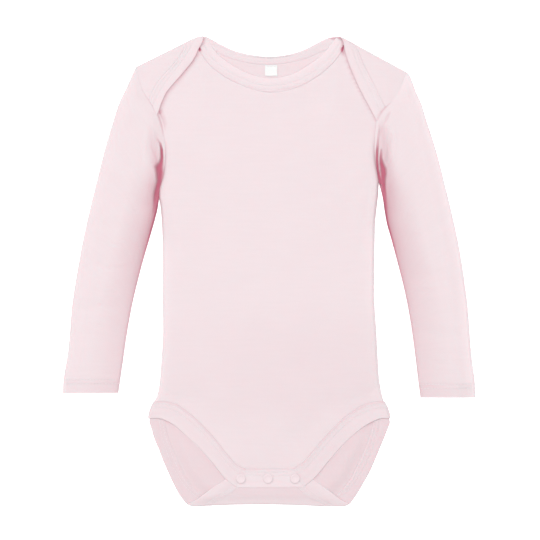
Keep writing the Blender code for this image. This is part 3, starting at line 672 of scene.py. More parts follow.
palePink = (0.705, 0.607, 0.626)
deepPink = (0.44, 0.125, 0.180)  # cloth lit only by the cloth round it
# grooveDepth in these looks sets the painted shade in the grooves of the knit, thread or tape
knitLook = {
    "name": "palePinkInterlock", "relief": "knit", "reliefValues": {"Fuzz": 0.4},
    "cloth": palePink, "deep": deepPink, "grooveDepth": 0.09, "unevenness": 0.05,
    "bump": 0.5, "bumpHeight": 0.12, "sheen": 0.25, "specular": 0.15, "glow": 0.35,
}
bandLook = {
    **knitLook, "name": "palePinkBinding", "reliefValues": {"Wales per metre": 1600.0, "Fuzz": 0.4},
    "cloth": (0.708, 0.608, 0.628), "grooveDepth": 0.07,
}
threadLook = {
    "name": "pinkThread", "relief": "twist", "reliefValues": {},
    "cloth": (0.76, 0.66, 0.68), "deep": deepPink, "grooveDepth": 0.15, "unevenness": 0.03,
    "bump": 0.6, "bumpHeight": 0.05, "sheen": 0.1, "specular": 0.35, "glow": 0.3,
}
tapeLook = {
    "name": "whiteTape", "relief": "tape", "reliefValues": {},
    "cloth": (0.755, 0.76, 0.755), "deep": deepPink, "grooveDepth": 0.12, "unevenness": 0.03,
    "bump": 0.4, "bumpHeight": 0.05, "sheen": 0.05, "specular": 0.4, "glow": 0.2,
}
knitCloth, bandCloth = clothMaterial(knitLook), clothMaterial(bandLook)
thread, tape = clothMaterial(threadLook), clothMaterial(tapeLook)
metalLook = {"bump": 0.15, "bumpHeight": 0.02, "specular": 0.3}


def metalMaterial(name, color, worn, wear, metallic):
    made = bpy.data.materials.new(name)
    made.use_nodes = True
    tree = made.node_tree
    shader = tree.nodes["Principled BSDF"]
    values = {"Enamel": (*color, 1), "Worn": (*worn, 1), "Wear": wear}
    finish = placeGroup(tree, groups["enamel"], values)
    bump = tree.nodes.new("ShaderNodeBump")
    bump.inputs["Strength"].default_value = metalLook["bump"]
    bump.inputs["Distance"].default_value = metalLook["bumpHeight"] * mm
    tree.links.new(finish.outputs["Height"], bump.inputs["Height"])
    tree.links.new(bump.outputs[0], shader.inputs["Normal"])
    tree.links.new(finish.outputs["Color"], shader.inputs["Base Color"])
    tree.links.new(finish.outputs["Roughness"], shader.inputs["Roughness"])
    shader.inputs["Metallic"].default_value = metallic
    shader.inputs["Specular IOR Level"].default_value = metalLook["specular"]
    return made


snapEnamel = metalMaterial("pinkSnapEnamel", (0.66, 0.555, 0.575), (0.63, 0.54, 0.555), 0.1, 0.0)
snapSteel = metalMaterial("snapSteel", (0.62, 0.62, 0.63), (0.72, 0.72, 0.72), 0.3, 1.0)
print("materials made")


# stitches: little capsules of thread laid along a line
stitchLook = {
    "length": 2.5,
    "gap": 0.5,  # between two stitches
    "width": 0.46,
    "height": 0.26,
    "sides": 6,
    "turnSpan": 0.4,  # how far before and behind its middle a stitch takes its direction from
    "clear": 0.02,  # none reaches into the table
    # shares of half its length, and how thick it is there
    "ends": ((-1.0, 0.12), (-0.86, 0.6), (-0.4, 1.0), (0.4, 1.0), (0.86, 0.6), (1.0, 0.12)),
}


def layStitches(name, rows):
    sides, rings, span = stitchLook["sides"], len(stitchLook["ends"]), stitchLook["turnSpan"]
    angles = np.linspace(0, 2 * math.pi, sides, endpoint=False)
    points, weave, faces = [], [], []
    pitch = stitchLook["length"] + stitchLook["gap"]
    for line, normals in rows:
        along = runLength(line)
        count = max(int(along[-1] / pitch), 1)
        middles = (np.arange(count) + 0.5) * along[-1] / count
        centres = pointsAt(line, middles)
        after = pointsAt(line, np.minimum(middles + span, along[-1]))
        before = pointsAt(line, np.maximum(middles - span, 0))
        facing = np.stack([np.interp(middles, along, normals[:, k]) for k in range(3)], axis=1)
        for centre, ahead, up in zip(centres, after - before, facing):
            ahead = ahead / np.linalg.norm(ahead)
            across = np.cross(up, ahead)
            base = len(weave)
            for share, width in stitchLook["ends"]:
                middle = centre + ahead * share * stitchLook["length"] / 2
                for angle in angles:
                    offset = across * math.cos(angle) * width * stitchLook["width"] / 2
                    rise = up * (math.sin(angle) * width * stitchLook["height"] / 2)
                    points.append(middle + offset + rise)
                    weave.append((angle * stitchLook["width"] / 2, share * stitchLook["length"] / 2))
            for r in range(rings - 1):
                for k in range(sides):
                    a, b = base + r * sides + k, base + r * sides + (k + 1) % sides
                    faces.append((a, b, b + sides, a + sides))
            faces.append(tuple(base + k for k in reversed(range(sides))))
            faces.append(tuple(base + (rings - 1) * sides + k for k in range(sides)))
    points = np.array(points)
    points[:, 2] = np.maximum(points[:, 2], stitchLook["clear"])
    mesh = rawMesh(name, points, faces, np.array(weave), np.zeros(len(points)))
    mesh.shade_smooth()
    piece = addPiece(name, mesh, ())
    mesh.materials.append(thread)
    return piece


# bindings: a strip folded double, with its seam, free edge and outward direction at each station
bandShape = {
    "grooveAt": (2.7, 6.2),  # the two needle rows, from the seam
    "grooveDepth": 0.11,
    "grooveReach": 0.55,
    "bulge": 0.14,  # between the outer row and the free edge
    "pucker": 0.05,
    "puckerPace": (2.1, 0.37),  # radians per millimetre
    "rimWidth": 1.3,  # the rounded free edge
    "rimReach": 1.7,  # how far in from it the painted light or shade of the free edge reaches
    "droop": 1.3,  # how far the leg bindings sag towards their free edge over the lifted crotch
    "droopBelow": (-130.0, -30.0),
    "tabDroop": 0.9,
    "tabDroopAbove": (-216.0, 10.0),
    "neckDroop": (0.4, 0.9),  # in the middle, and what is added at the shoulders
    "neckDroopOut": (34.0, 20.0),
    "lapEndDip": 0.7,  # at the last stations, under the armhole seam
    "steps": {"neckFront": 100, "neckBack": 90, "lap": 48, "lapTurn": 11, "leg": 72, "legBack": 64,
              "tab": 28, "legTurn": 9, "placket": 40},
    # painted shade of each binding, below 0 painted light
    "shades": {"neckBack": 0.015, "leg": 0.028, "legBack": 0.1, "tab": 0.03, "placket": -0.015},
}


def bandSection(width):
    first, second = bandShape["grooveAt"]
    dip, side, wall = bandShape["grooveDepth"], bandShape["grooveReach"], layers["band"]
    rim = bandShape["rimWidth"]
    top = [
        (-layers["tuck"], -0.75), (-0.1, -0.42), (0.25, -0.14), (0.7, 0.0), (1.4, 0.04),
        (first - side, 0.0), (first, -dip), (first + side, 0.0),
        ((first + second) / 2, 0.05), (second - side, 0.0), (second, -dip), (second + side, 0.02),
        ((second + width) / 2 - 0.2, bandShape["bulge"]), (width - rim - 0.3, 0.03),
    ]
    turn = [
        (width - rim * (1 - math.sin(a)), -wall / 2 * (1 - math.cos(a)))
        for a in np.radians([12, 30, 48, 66, 90, 114, 140, 168])
    ]
    low = [
        (width - rim - 0.3, -wall),
        (second + side, -wall), (second, -wall + dip), (second - side, -wall),
        (first + side, -wall), (first, -wall + dip), (first - side, -wall),
        (0.5, -wall + 0.04), (0.0, -wall + 0.3),
    ]
    return np.array(top + turn + low)


def flatStations(seam, edge, height, facing, shade=0.0, droop=0.0):
    height, droop = np.broadcast_to(height, len(seam)), np.broadcast_to(droop, len(seam))
    up = np.array([0.0, 0.0, facing])
    seamSide, edgeSide = lifted(seam, height), lifted(edge, height - droop)
    return [(start, end, up, shade) for start, end in zip(seamSide, edgeSide)]


# the half turn between two stations that lie one above the other
def bendStations(low, high, outward, radius, steps):
    made = []
    for angle in np.linspace(-90, 90, steps + 2)[1:-1]:
        turn, share = math.radians(angle), (angle + 90) / 180
        normal = np.array([*(outward * math.cos(turn)), math.sin(turn)])
        pair = []
        for lower, upper in zip(low[:2], high[:2]):
            base = (1 - share) * lower + share * upper
            base[2] = radius
            pair.append(base + radius * normal)
        made.append((*pair, normal, (1 - share) * low[3] + share * high[3]))
    return made


def bindingPiece(name, stations, node, rimShade, shadeSpots):  # gives back its stitches
    rings, weave, shade = [], [], []
    along = 0.0
    # depth is the painted shade of each station
    for k, (seam, edge, normal, depth) in enumerate(stations):
        width = np.linalg.norm(edge - seam)
        across = (edge - seam) / width
        if k:
            along += np.linalg.norm((seam + edge) / 2 - (stations[k - 1][0] + stations[k - 1][1]) / 2)
        section = bandSection(width)
        fast, slow = bandShape["puckerPace"]
        ripple = bandShape["pucker"] * math.sin(along * fast) * math.sin(along * slow)
        out, up = section[:, :1], section[:, 1:]
        up = up + ripple * (up > -0.5)  # only the outer face ripples
        ring = seam + out * across + up * normal
        ring[:, 2] = np.maximum(ring[:, 2], 0.0)
        rings.append(ring)
        weave.append(np.stack([np.full(len(section), along), runLength(section)], axis=1))
        # painted light or shade on the free edge, on top of the station's painted shade, and painted
        # shade marks along seams and edges
        rolled = np.exp(-(width - section[:, 0]) / bandShape["rimReach"]) * max(normal[2], 0.0)
        shade.append(deeper(depth + rimShade * rolled, creased(ring[:, :2], shadeSpots)[1]))
    piece = ringSolid(name, rings, np.vstack(weave), np.concatenate(shade), (node,))
    piece.data.materials.append(bandCloth)
    lines = []
    for at in bandShape["grooveAt"]:
        for face in (1, -1):
            line, normals = [], []
            for seam, edge, normal, depth in stations:
                across = (edge - seam) / np.linalg.norm(edge - seam)
                level = 0.0 if face > 0 else -layers["band"]
                line.append(seam + at * across + level * normal)
                normals.append(face * normal)
            lines.append((np.array(line), np.array(normals)))
    return layStitches(name + "Stitches", lines)


# front panel
frontLook = {
    "puff": 2.4,  # how far the middle stands up
    "puffReach": 42.0,  # in from the edges
    "legPuff": 0.25,  # the share of it along the legs
    "lapCover": 16.0,  # how far in from the shoulder fold the laps cover the neck seam
    "crotchLift": (-118.0, -66.0),  # it rises to the placket from this height, over this one
    "sideRoll": 3.6,  # how far in the side edges are rounded
    "edgeLow": 0.3,  # heights of the side edge, from the side seam to the lap's end
    "recessEdge": 2.8,
    "lapEndEdge": 3.6,
    "seamDip": 0.3,  # how far the seams sink in
    "legDip": 0.25,
    "dipWidth": 1.3,
    "rumple": 0.22,
    "rumpleFrom": 12.0,  # full this far below the neck
    "crumple": ((1.0, 46.0, 3.1), (0.35, 17.0, 8.7)),  # share, size and seed
    # painted shade, darker towards the bottom and less so again over the legs
    "lowerShade": 0.04,
    "lowerFrom": (-20.0, -60.0),
    "lowerEase": (0.7, -118.0, -30.0),  # how much of it goes again further down, and where
    "leftLift": 0.6,  # how much less of it there is on the left
    "underarmShade": ((-45, 0, 35, 60), (0, 0.5, 0.35, 0.05)),  # painted shade beside the sleeve, at heights from the underarm
    "sideShade": -0.08,  # painted light on the rounded sides
    "edgeSteps": (0.0, 0.2, 0.6, 1.2, 2.0, 3.0, 4.2),  # closer columns at the rounded sides
    "sideRows": 110,
    "armholeRows": 76,
    "legColumns": 40,
    "crotchColumns": 26,
    "shoulderColumns": 14,
}
# creases with a shade value carry painted shade: painted shadow beside the lap edges, dark painted
# dots where the bindings cross, and painted shade along the armhole seams
frontCreases = [
    {"path": leftCut["lapEdge"], "width": (1.4, 1.5, 1.8, 2.2, 2.2, 1.8), "height": 0.6,
     "shade": (0.3, 0.34, 0.36, 0.33, 0.3, 0.28)},
    {"path": rightCut["lapEdge"], "width": (2.0, 1.5, 1.2), "height": 0.6,
     "shade": (0.5, 0.35, 0.2)},
    {"path": [(-65.8, 210.2), (-64.8, 207.4)], "width": 1.2, "shade": 1.5},
    {"path": [(69.2, 209.5), (68.9, 206.6), (70.5, 203.5)], "width": (1.4, 1.6, 1.2),
     "shade": (1.4, 1.0, 0.45)},
    {"path": [(-102.7, 149.9), (-102.3, 148.2)], "width": 1.2, "height": -0.3, "shade": 0.75},
    {"path": [(-103.8, 146.4), (-100.6, 136.0), (-98.6, 126.0)], "width": 0.8,
     "shade": (0.25, 0.3, 0.05)},
    {"path": [(-102.3, 149.0), (-101.3, 146.2), (-99.5, 142.4), (-98.1, 137.7), (-97.4, 132.5)],
     "width": 0.95, "height": (-0.4, -0.5, -0.5, -0.4, -0.1),
     "shade": (0.5, 0.45, 0.3, 0.22, 0.06)},
    *creaseRows([
        ([(-96, 96), (-62, 60)], 7.0, 0.5),
        ([(96, 104), (60, 64)], 7.0, 0.5),
        ([(-99, 72), (-90, 40), (-88, 12)], (3.0, 5.0, 6.0), -0.45),
        ([(98, 84), (90, 50), (88, 20)], (3.0, 5.0, 6.0), -0.4),
        ([(-60, -120), (-24, -160)], 8.0, -0.4),
        ([(60, -122), (24, -160)], 8.0, -0.4),
        ([(-101, -108), (-92, -117), (-74, -121)], (2.5, 4.0, 5.0), -0.5),
        ([(102, -108), (93, -117), (76, -121)], (2.5, 4.0, 5.0), -0.5),
        ([(-40, 158), (-58, 140), (-66, 118)], (5.0, 7.0, 8.0), -0.25),
        ([(44, 160), (62, 138), (68, 116)], (5.0, 7.0, 8.0), -0.25),
    ]),
]


def frontHeight(points):
    seam = neck["frontSeam"]
    cover = frontLook["lapCover"]
    hidden = (left.depth(seam) < cover) | (right.depth(seam) < cover)
    above = chained(left.curves["lapEdge"][::-1], seam[~hidden], right.curves["lapEdge"])
    order = np.argsort(above[:, 0])
    lineY = np.interp(points[..., 0], above[order, 0], above[order, 1])
    belowNeck = np.where(points[..., 1] < lineY, nearLine(points, above)[0], 0.0)
    legs = chained(left.curves["legSeam"], right.curves["legSeam"][::-1])
    aboveLegs = ease(nearLine(points, legs)[0] / frontLook["puffReach"])
    share = frontLook["legPuff"]
    puff = ease(belowNeck / frontLook["puffReach"]) * (share + (1 - share) * aboveLegs)
    lift = fade(points[..., 1], *frontLook["crotchLift"])
    free = ease(belowNeck / frontLook["rumpleFrom"])
    soft = frontLook["rumple"] * free * crumple(points, frontLook["crumple"])
    rise = frontLook["puff"] * puff * (1 - lift) + (layers["crotch"] - layers["frontBand"]) * lift
    return layers["frontTop"] + rise + creased(points, frontCreases)[0] + soft


def armholeFoot(side):
    return side.curves["armhole"][-1][1]


def frontSideEdge(side, points):
    underarm, lapEnd = armholeFoot(side), side.curves["lapEdge"][-1][1]
    levels = [frontLook[key] for key in ("edgeLow", "recessEdge", "lapEndEdge")]
    return np.interp(points[..., 1], [underarm - 4, underarm + 3, lapEnd - 12], levels)


def makeFront():
    sides = []
    for side in (left, right):
        armhole = side.curves["armhole"]
        start = side.atDepth(armhole, [lapBend + 0.3])
        upper = np.vstack([start, armhole[side.depth(armhole) > lapBend + 1]])
        lower = evenly(side.curves["side"][::-1], frontLook["sideRows"])
        sides.append(chained(lower, evenly(upper[::-1], frontLook["armholeRows"])))
    crotch = smoothCurve(placketLook["seam"])
    seam = chained(left.curves["legSeam"], crotch, right.curves["legSeam"][::-1])
    count = len(left.curves["legSeam"])
    steps = frontLook["edgeSteps"]
    legColumns, crotchColumns = frontLook["legColumns"], frontLook["crotchColumns"]
    legLeft = fromEdge(np.vstack([sides[0][:1], seam[:count]]), steps, legColumns)
    legRight = fromEdge(np.vstack([sides[1][:1], seam[-count:][::-1]]), steps, legColumns)
    middle = evenly(seam[count - 1 : 1 - count], crotchColumns)
    bottom = chained(legLeft, middle, legRight[::-1])
    neckLine, ends = neck["frontSeam"], lapBend + 0.3
    neckLine = neckLine[(left.depth(neckLine) > ends) & (right.depth(neckLine) > ends)]
    wide = frontLook["shoulderColumns"]
    shoulderLeft = fromEdge(np.array([sides[0][-1], neckLine[0]]), steps, wide)
    shoulderRight = fromEdge(np.array([sides[1][-1], neckLine[-1]]), steps, wide)[::-1]
    columns = 2 * legColumns + crotchColumns - 2 * wide
    top = chained(shoulderLeft, evenly(neckLine, columns), shoulderRight)
    plan = coonsRows(bottom, top, *sides)
    height = frontHeight(plan)
    sideRows = frontLook["sideRows"]
    seams = chained(sides[0][sideRows:], neckLine, sides[1][: sideRows - 1 : -1])
    for line, dip in ((seams, frontLook["seamDip"]), (seam, frontLook["legDip"])):
        height = height - groove(nearLine(plan, line)[0], dip, frontLook["dipWidth"])
    # painted shade from the creases, darker towards the bottom and beside the underarm, with painted
    # light on the rounded sides
    shade = creased(plan, frontCreases)[1]
    share, start, reach = frontLook["lowerEase"]
    lower = fade(plan[..., 1], *frontLook["lowerFrom"]) - share * fade(plan[..., 1], start, reach)
    lower = lower * (1 + frontLook["leftLift"] * np.clip(plan[..., 0] / 80, -1, 0))
    shade = shade + frontLook["lowerShade"] * lower
    for side, edge in zip((left, right), sides):
        gap = nearLine(plan, edge)[0]
        share = np.clip(gap / frontLook["sideRoll"], 0.0, 1.0)
        low = np.minimum(frontSideEdge(side, plan), height)
        height = low + (height - low) * np.sqrt(1 - (1 - share) ** 2)
        underarm = armholeFoot(side)
        heights, depths = frontLook["underarmShade"]
        beside = np.interp(plan[..., 1], [underarm + up for up in heights], depths)
        free = fade(plan[..., 1], underarm - 30, -30)
        shade = deeper(shade, beside * np.exp(-gap / 1.2))
        shade = deeper(shade, frontLook["sideShade"] * free * np.exp(-gap / 5.0))
    piece = clothPanel("frontPanel", [(lifted(plan, height), shade)], ("front_panel",))
    piece.data.materials.append(knitCloth)


placketLook = {
    "seam": [(-21.2, -186.0), (22.2, -186.0)],
    "edge": [(-30.7, -203.2), (31.7, -203.0)],
    "underLeg": 2.5,  # how far its ends run under the leg bindings
    "endDip": 0.5,
    "droop": 1.3,  # how far it sags towards its free edge
}


# back panel: the lower layer, the crotch tab folded up and the two lap shoulders folded over
backLook = {
    "tuck": 1.7,  # how far in from the side seam it lies
    "tuckFrom": -119.0,  # above this height, and below the next it follows the leg binding
    "legTo": -124.3,
    "underarmTurn": 6.0,  # how far above its foot the armhole is joined
    "legRows": 34,
    "sideRows": 60,
    "armholeRows": 44,
    "shoulderColumns": 20,
    "neckColumns": 44,
    "rumple": 0.16,
    "creaseFrom": (3.0, 14.0),  # how far in from the seams the creases start and are full
    "creaseFromLegs": (6.0, 14.0),
    "tabRows": 14,
    "tabClear": 0.1,  # between the tab and the placket
    "tabReach": 9.0,  # how far above its fold the tab has risen
    "lapRows": 34,
    "foldSteps": 12,
    "lapTip": 0.35,  # the tip stops this far short of the seam's end
    "lapPuff": (0.5, 14.0, 10.0),  # how high, and how far in from the seams and from the fold
    "lapRumple": (0.15, 6.0),
    "lapDip": {"left": 0.18, "right": 0.03},  # how far the seams sink in
    "lapDipWidth": 1.2,
    "legSwell": 2.4,  # how far the leg part lifts off the table
    "swellFrom": (-124.0, -50.0),  # from this height down, over this one
    "swellTo": (2.0, 18.0),  # above the lower fold
    "swellEdge": 12.0,
    "insideShade": 0.09,  # painted shade of the inside, seen through the leg holes
    "insideBelow": (-112.0, -8.0),
    "neckShade": 0.04,  # painted shade of the inside, seen through the neck
    "neckAbove": (180.0, 4.0),
    # painted light along the lower fold
    "foldShade": -0.06,
    "foldShadeReach": 5.0,
}
backCreases = creaseRows([  # where the lower layer lifts off the table
    ([(-93, 86), (-70, 54), (-56, 28)], (4.0, 6.0, 7.0), (0.3, 0.6, 0.1)),
    ([(-95, 60), (-84, 36), (-82, 8)], (3.5, 5.0, 6.0), (0.2, 0.4, 0.0)),
    ([(92, 100), (72, 68), (60, 38)], (4.0, 6.0, 7.0), (0.3, 0.55, 0.1)),
    ([(94, 70), (86, 44), (84, 14)], (3.5, 5.0, 6.0), (0.2, 0.4, 0.0)),
    ([(-86, -20), (-44, -28), (4, -22)], (3.5, 5.0, 4.0), (0.1, 0.45, 0.0)),
    ([(86, -42), (46, -52), (10, -47)], (3.5, 5.0, 4.0), (0.1, 0.4, 0.0)),
    ([(-90, -96), (-58, -110), (-26, -116)], (3.5, 5.0, 5.0), (0.1, 0.5, 0.0)),
    ([(91, -92), (62, -106), (32, -115)], (3.5, 5.0, 5.0), (0.1, 0.45, 0.0)),
    ([(-34, 182), (-46, 150), (-50, 116)], (5.0, 7.0, 8.0), (0.1, 0.4, 0.0)),
    ([(40, 180), (52, 148), (55, 118)], (5.0, 7.0, 8.0), (0.1, 0.4, 0.0)),
    ([(8, 128), (15, 62), (7, 0), (12, -74)], (8.0, 11.0, 11.0, 8.0), (0.0, 0.35, 0.3, 0.0)),
])
# painted shadow beside the leg bindings' free edges, on the lower layer
bandEdgeShadows = [{"path": cut["legEdge"], "width": 3.5, "shade": 0.06} for cut in (leftCut, rightCut)]


def backEdge(side):
    corner = np.array([side.curves["backLegSeam"][-1][0], tabFoldY])
    leg = side.curves["backLegSeam"][::-1]
    leg = np.vstack([corner, leg[(leg[:, 1] < backLook["legTo"]) & (leg[:, 1] > corner[1] + 1)]])
    tucked = shifted(side.curves["side"][::-1], side.sign * backLook["tuck"])
    tucked = np.vstack([leg[-1], tucked[tucked[:, 1] > backLook["tuckFrom"]]])
    armhole = side.curves["armhole"][::-1]
    clear = armhole[:, 1] > armhole[0, 1] + backLook["underarmTurn"]
    clear = clear & (side.depth(armhole) > lapBend + 1)
    start = side.atDepth(armhole[::-1], [lapBend])
    armhole = np.vstack([tucked[-1], armhole[clear], start])
    parts = ((leg, "legRows"), (tucked, "sideRows"), (armhole, "armholeRows"))
    return chained(*[evenly(line, backLook[rows]) for line, rows in parts])


def tabHeight(points):  # it rises from its fold to lie under the placket
    rise = layers["lap"] - layers["flap"] - backLook["tabClear"]
    return layers["flap"] + rise * ease((points[..., 1] - tabFoldY) / backLook["tabReach"])


def turnedRows(low, high, outward, radius, steps):  # cloth folded over in a half round
    rows = []
    for angle in np.linspace(-90, 90, steps + 1):
        turn, share = math.radians(angle), (angle + 90) / 180
        plan = (1 - share) * low + share * high + outward * radius * math.cos(turn)
        rows.append(lifted(plan, radius * (1 + math.sin(turn))))
    return rows


def lapGrid(side, lowRow):
    armhole, seam = side.curves["armhole"], side.curves["lapSeam"]
    deepest = side.depth(seam).max() - backLook["lapTip"]
    rows = []
    for depth in np.linspace(lapBend, deepest, backLook["lapRows"]):
        ends = [side.atDepth(armhole, [depth])[0], side.atDepth(seam, [depth])[0]]
        rows.append(evenly(np.array(ends[:: -side.sign]), len(lowRow) - 1))
    turned = turnedRows(lowRow, rows[0], side.outward, lapBend, backLook["foldSteps"])
    tip = 0 if side.sign < 0 else -1
    share = np.linspace(1.0, 0.0, len(lowRow))[:: -side.sign, None]
    for row in turned:
        height = (row[tip, 2] - lapBend) / lapBend
        depth = lapBend * (1 - math.sqrt(1 - min(height * height, 1.0)))
        row[:, :2] += share * (side.atDepth(armhole, [depth])[0] - row[tip, :2])
    flat = np.array(rows[1:])
    edge = np.minimum(nearLine(flat, seam)[0], nearLine(flat, armhole)[0])
    puff, fromSeam, fromFold = backLook["lapPuff"]
    soft = puff * ease(edge / fromSeam) * fade(side.depth(flat), lapBend, fromFold)
    uneven, unevenFrom = backLook["lapRumple"]
    height = layers["lap"] + soft + uneven * rumple(flat, 24.0, 5.0) * ease(edge / unevenFrom)
    height -= groove(edge, backLook["lapDip"][side.name], backLook["lapDipWidth"])
    return np.array(turned + list(lifted(flat, height)))


def makeBack():
    leftEdge, rightEdge = backEdge(left), backEdge(right)
    columns = 2 * backLook["shoulderColumns"] + backLook["neckColumns"]
    bottom = evenly(np.array([leftEdge[0], rightEdge[0]]), columns)
    seam = neck["backSeam"]
    starts = [side.atDepth(line, [lapBend]) for side, line in ((left, seam), (right, seam[::-1]))]
    middle = seam[(left.depth(seam) > lapBend + 0.5) & (right.depth(seam) > lapBend + 0.5)]
    shoulderLeft = evenly(np.vstack([leftEdge[-1:], starts[0]]), backLook["shoulderColumns"])
    shoulderRight = evenly(np.vstack([starts[1], rightEdge[-1:]]), backLook["shoulderColumns"])
    neckLine = evenly(np.vstack([starts[0], middle, starts[1]]), backLook["neckColumns"])
    top = chained(shoulderLeft, neckLine, shoulderRight)
    plan = coonsRows(bottom, top, leftEdge, rightEdge)
    # the lower layer
    fromLegs = np.minimum(*[nearLine(plan, side.curves["backLegSeam"])[0] for side in (left, right)])
    swell = backLook["legSwell"] * fade(plan[..., 1], *backLook["swellFrom"])
    swell = swell * fade(plan[..., 1] - tabFoldY, *backLook["swellTo"])
    seams = chained(leftEdge, evenly(neckLine, 60), rightEdge[::-1])
    fromSeams = fade(nearLine(plan, seams)[0], *backLook["creaseFrom"])
    fromSeams = fromSeams * fade(fromLegs, *backLook["creaseFromLegs"])
    crease = creased(plan, backCreases)[0] + backLook["rumple"] * (1 + rumple(plan, 34.0, 2.4))
    lower = lifted(plan, swell * ease(fromLegs / backLook["swellEdge"]) + crease * fromSeams)
    # the tab, folded up at the lower end
    tabLeft = evenly(left.curves["flapSeam"], backLook["tabRows"])
    tabRight = evenly(right.curves["flapSeam"], backLook["tabRows"])
    tabLeft[0], tabRight[0] = leftEdge[0], rightEdge[0]
    tabLeft[0, 1] = tabRight[0, 1] = tabFoldY
    tab = np.linspace(tabLeft, tabRight, columns + 1, axis=1)
    outward, steps = np.array([0.0, -1.0]), backLook["foldSteps"]
    fold = turnedRows(lower[0, :, :2], tab[0], outward, flapBend, steps)
    tabRows = list(lifted(tab, tabHeight(tab)))
    rows = np.array(tabRows[:0:-1] + fold[::-1][:-1] + list(lower))
    y = rows[..., 1]
    # painted shade of the inside seen through the leg holes and the neck, painted shadow beside the
    # leg bindings' free edges, and painted light along the lower fold
    inside = backLook["insideShade"] * fade(y, *backLook["insideBelow"])
    inside = deeper(inside, creased(rows[..., :2], bandEdgeShadows)[1])
    inside = inside + backLook["neckShade"] * fade(y, *backLook["neckAbove"])
    fromFold = (y - tabFoldY) / backLook["foldShadeReach"]
    atFold = backLook["foldShade"] * np.exp(-(fromFold**2))
    laps = [(lapGrid(left, shoulderLeft), 0.0), (lapGrid(right, shoulderRight), 0.0)]
    grids = [(rows, inside + atFold), *laps]
    piece = clothPanel("backPanel", grids, ("back_panel",), flip=True)
    piece.data.materials.append(knitCloth)
    # the painted shade is kept only on the inside, which faces up
    count = len(piece.data.vertices)
    facing, tone = np.zeros(count * 3), np.zeros(count, np.float32)
    piece.data.vertices.foreach_get("normal", facing)
    mask = piece.data.attributes["shade"].data
    mask.foreach_get("value", tone)
    mask.foreach_set("value", tone * ease(facing[2::3] + 0.6).astype(np.float32))


# sleeves: a flattened tube with soft cross creases and a turned hem
sleeveLook = {
    "outerRadii": (lapBend, 2.75, 2.75, 2.6),  # at the shoulder, elbow, forearm and cuff
    "innerRadii": (1.5, 2.1, 2.3, 2.6),
    "stops": (0.0, 0.35, 0.75, 1.0),
    "pastSeam": 0.15,  # how far it reaches past the armhole seam
    "puff": 1.9,  # how far the middle stands up
    "rise": 14.0,  # over this width from the outer edge
    "fall": 32.0,  # and down again over this width
    "edgeFree": 5.0,  # creases fade out this near to the edges
    "seamReach": 9.0,  # how far in the sleeve comes down to the height of the armhole seam
    "lowest": 1.6,  # of the upper layer, at the bottom of the deepest fold
    "lowerDip": 0.3,  # how far the armhole seam sinks in
    "upperDip": {"left": 0.3, "right": 0.03},
    "dipHeights": (145, 160),  # from the lower dip to the upper one
    "dipWidth": 1.3,
    "edgePaintedLight": {"left": 0.035, "right": 0.1},  # painted light on the outer edges
    "edgePaintedLightReach": 8.0,
    "paintAbove": 1.4,  # painted light and shade only on the upper half of the edges
    "hem": 12.6,
    "hemStitches": (8.7, 12.3),  # up from the cuff
    "hemWall": 2.2,
    "hemStep": (-0.12, 0.1),  # down at its sewn edge and up over the folded cloth
    "hemShade": ((0.0, 8.0, 8.8, 12.6, 13.6), (0.03, 0.03, 0.05, 0.05, 0.0)),  # painted shade along the hem and its needle rows, from the cuff up
    "levelRows": 22.0,  # the rows run level with the cuff up to here and fan out above it
    "underShift": (3.0, -8.0),  # the lower layer's folds lie off those above
    "underFold": 0.9,
    "underRumple": 0.14,
    "underEdge": 7.0,
    "underFrom": (0.04, 0.1),  # shares of the length from the armhole
    "underTo": (14.0, 14.0),  # up from the cuff
    "rumple": 0.25,
    "crumple": ((1.0, 30.0, 1.3), (0.4, 11.0, 6.2)),  # share, size and seed
    "shoulderShare": 0.1,
    "shoulderRings": 33,
    "rings": 120,
    "hemRings": 9,
    "columns": 60,
    "topSamples": 120,
    "topPoints": 90,
    "underPoints": 48,
    "turnPoints": 13,
}
innerShade = {  # painted shade in from the inner outline, at heights from the cuff up
    "armholePart": 24.0,  # how far up the armhole it reaches
    "distances": (0.0, 1.0, 2.2, 4.0, 7.0, 12.0, 20.0, 31.0),
    "heights": (-115.0, -65.0, -20.0, 10.0, 38.0, 62.0, 80.0, 96.0),
    "shades": (
        (0.30, 0.20, 0.14, 0.11, 0.09, 0.07, 0.03, 0.0),
        (0.50, 0.30, 0.20, 0.16, 0.13, 0.10, 0.05, 0.0),
        (0.60, 0.45, 0.31, 0.24, 0.18, 0.13, 0.08, 0.0),
        (0.80, 0.60, 0.40, 0.33, 0.25, 0.19, 0.11, 0.0),
        (1.20, 1.05, 0.60, 0.46, 0.34, 0.22, 0.12, 0.0),
        (1.35, 1.20, 0.75, 0.52, 0.34, 0.20, 0.10, 0.0),
        (0.90, 0.70, 0.50, 0.40, 0.26, 0.12, 0.05, 0.0),
        (0.30, 0.20, 0.15, 0.10, 0.05, 0.0, 0.0, 0.0),
    ),
}
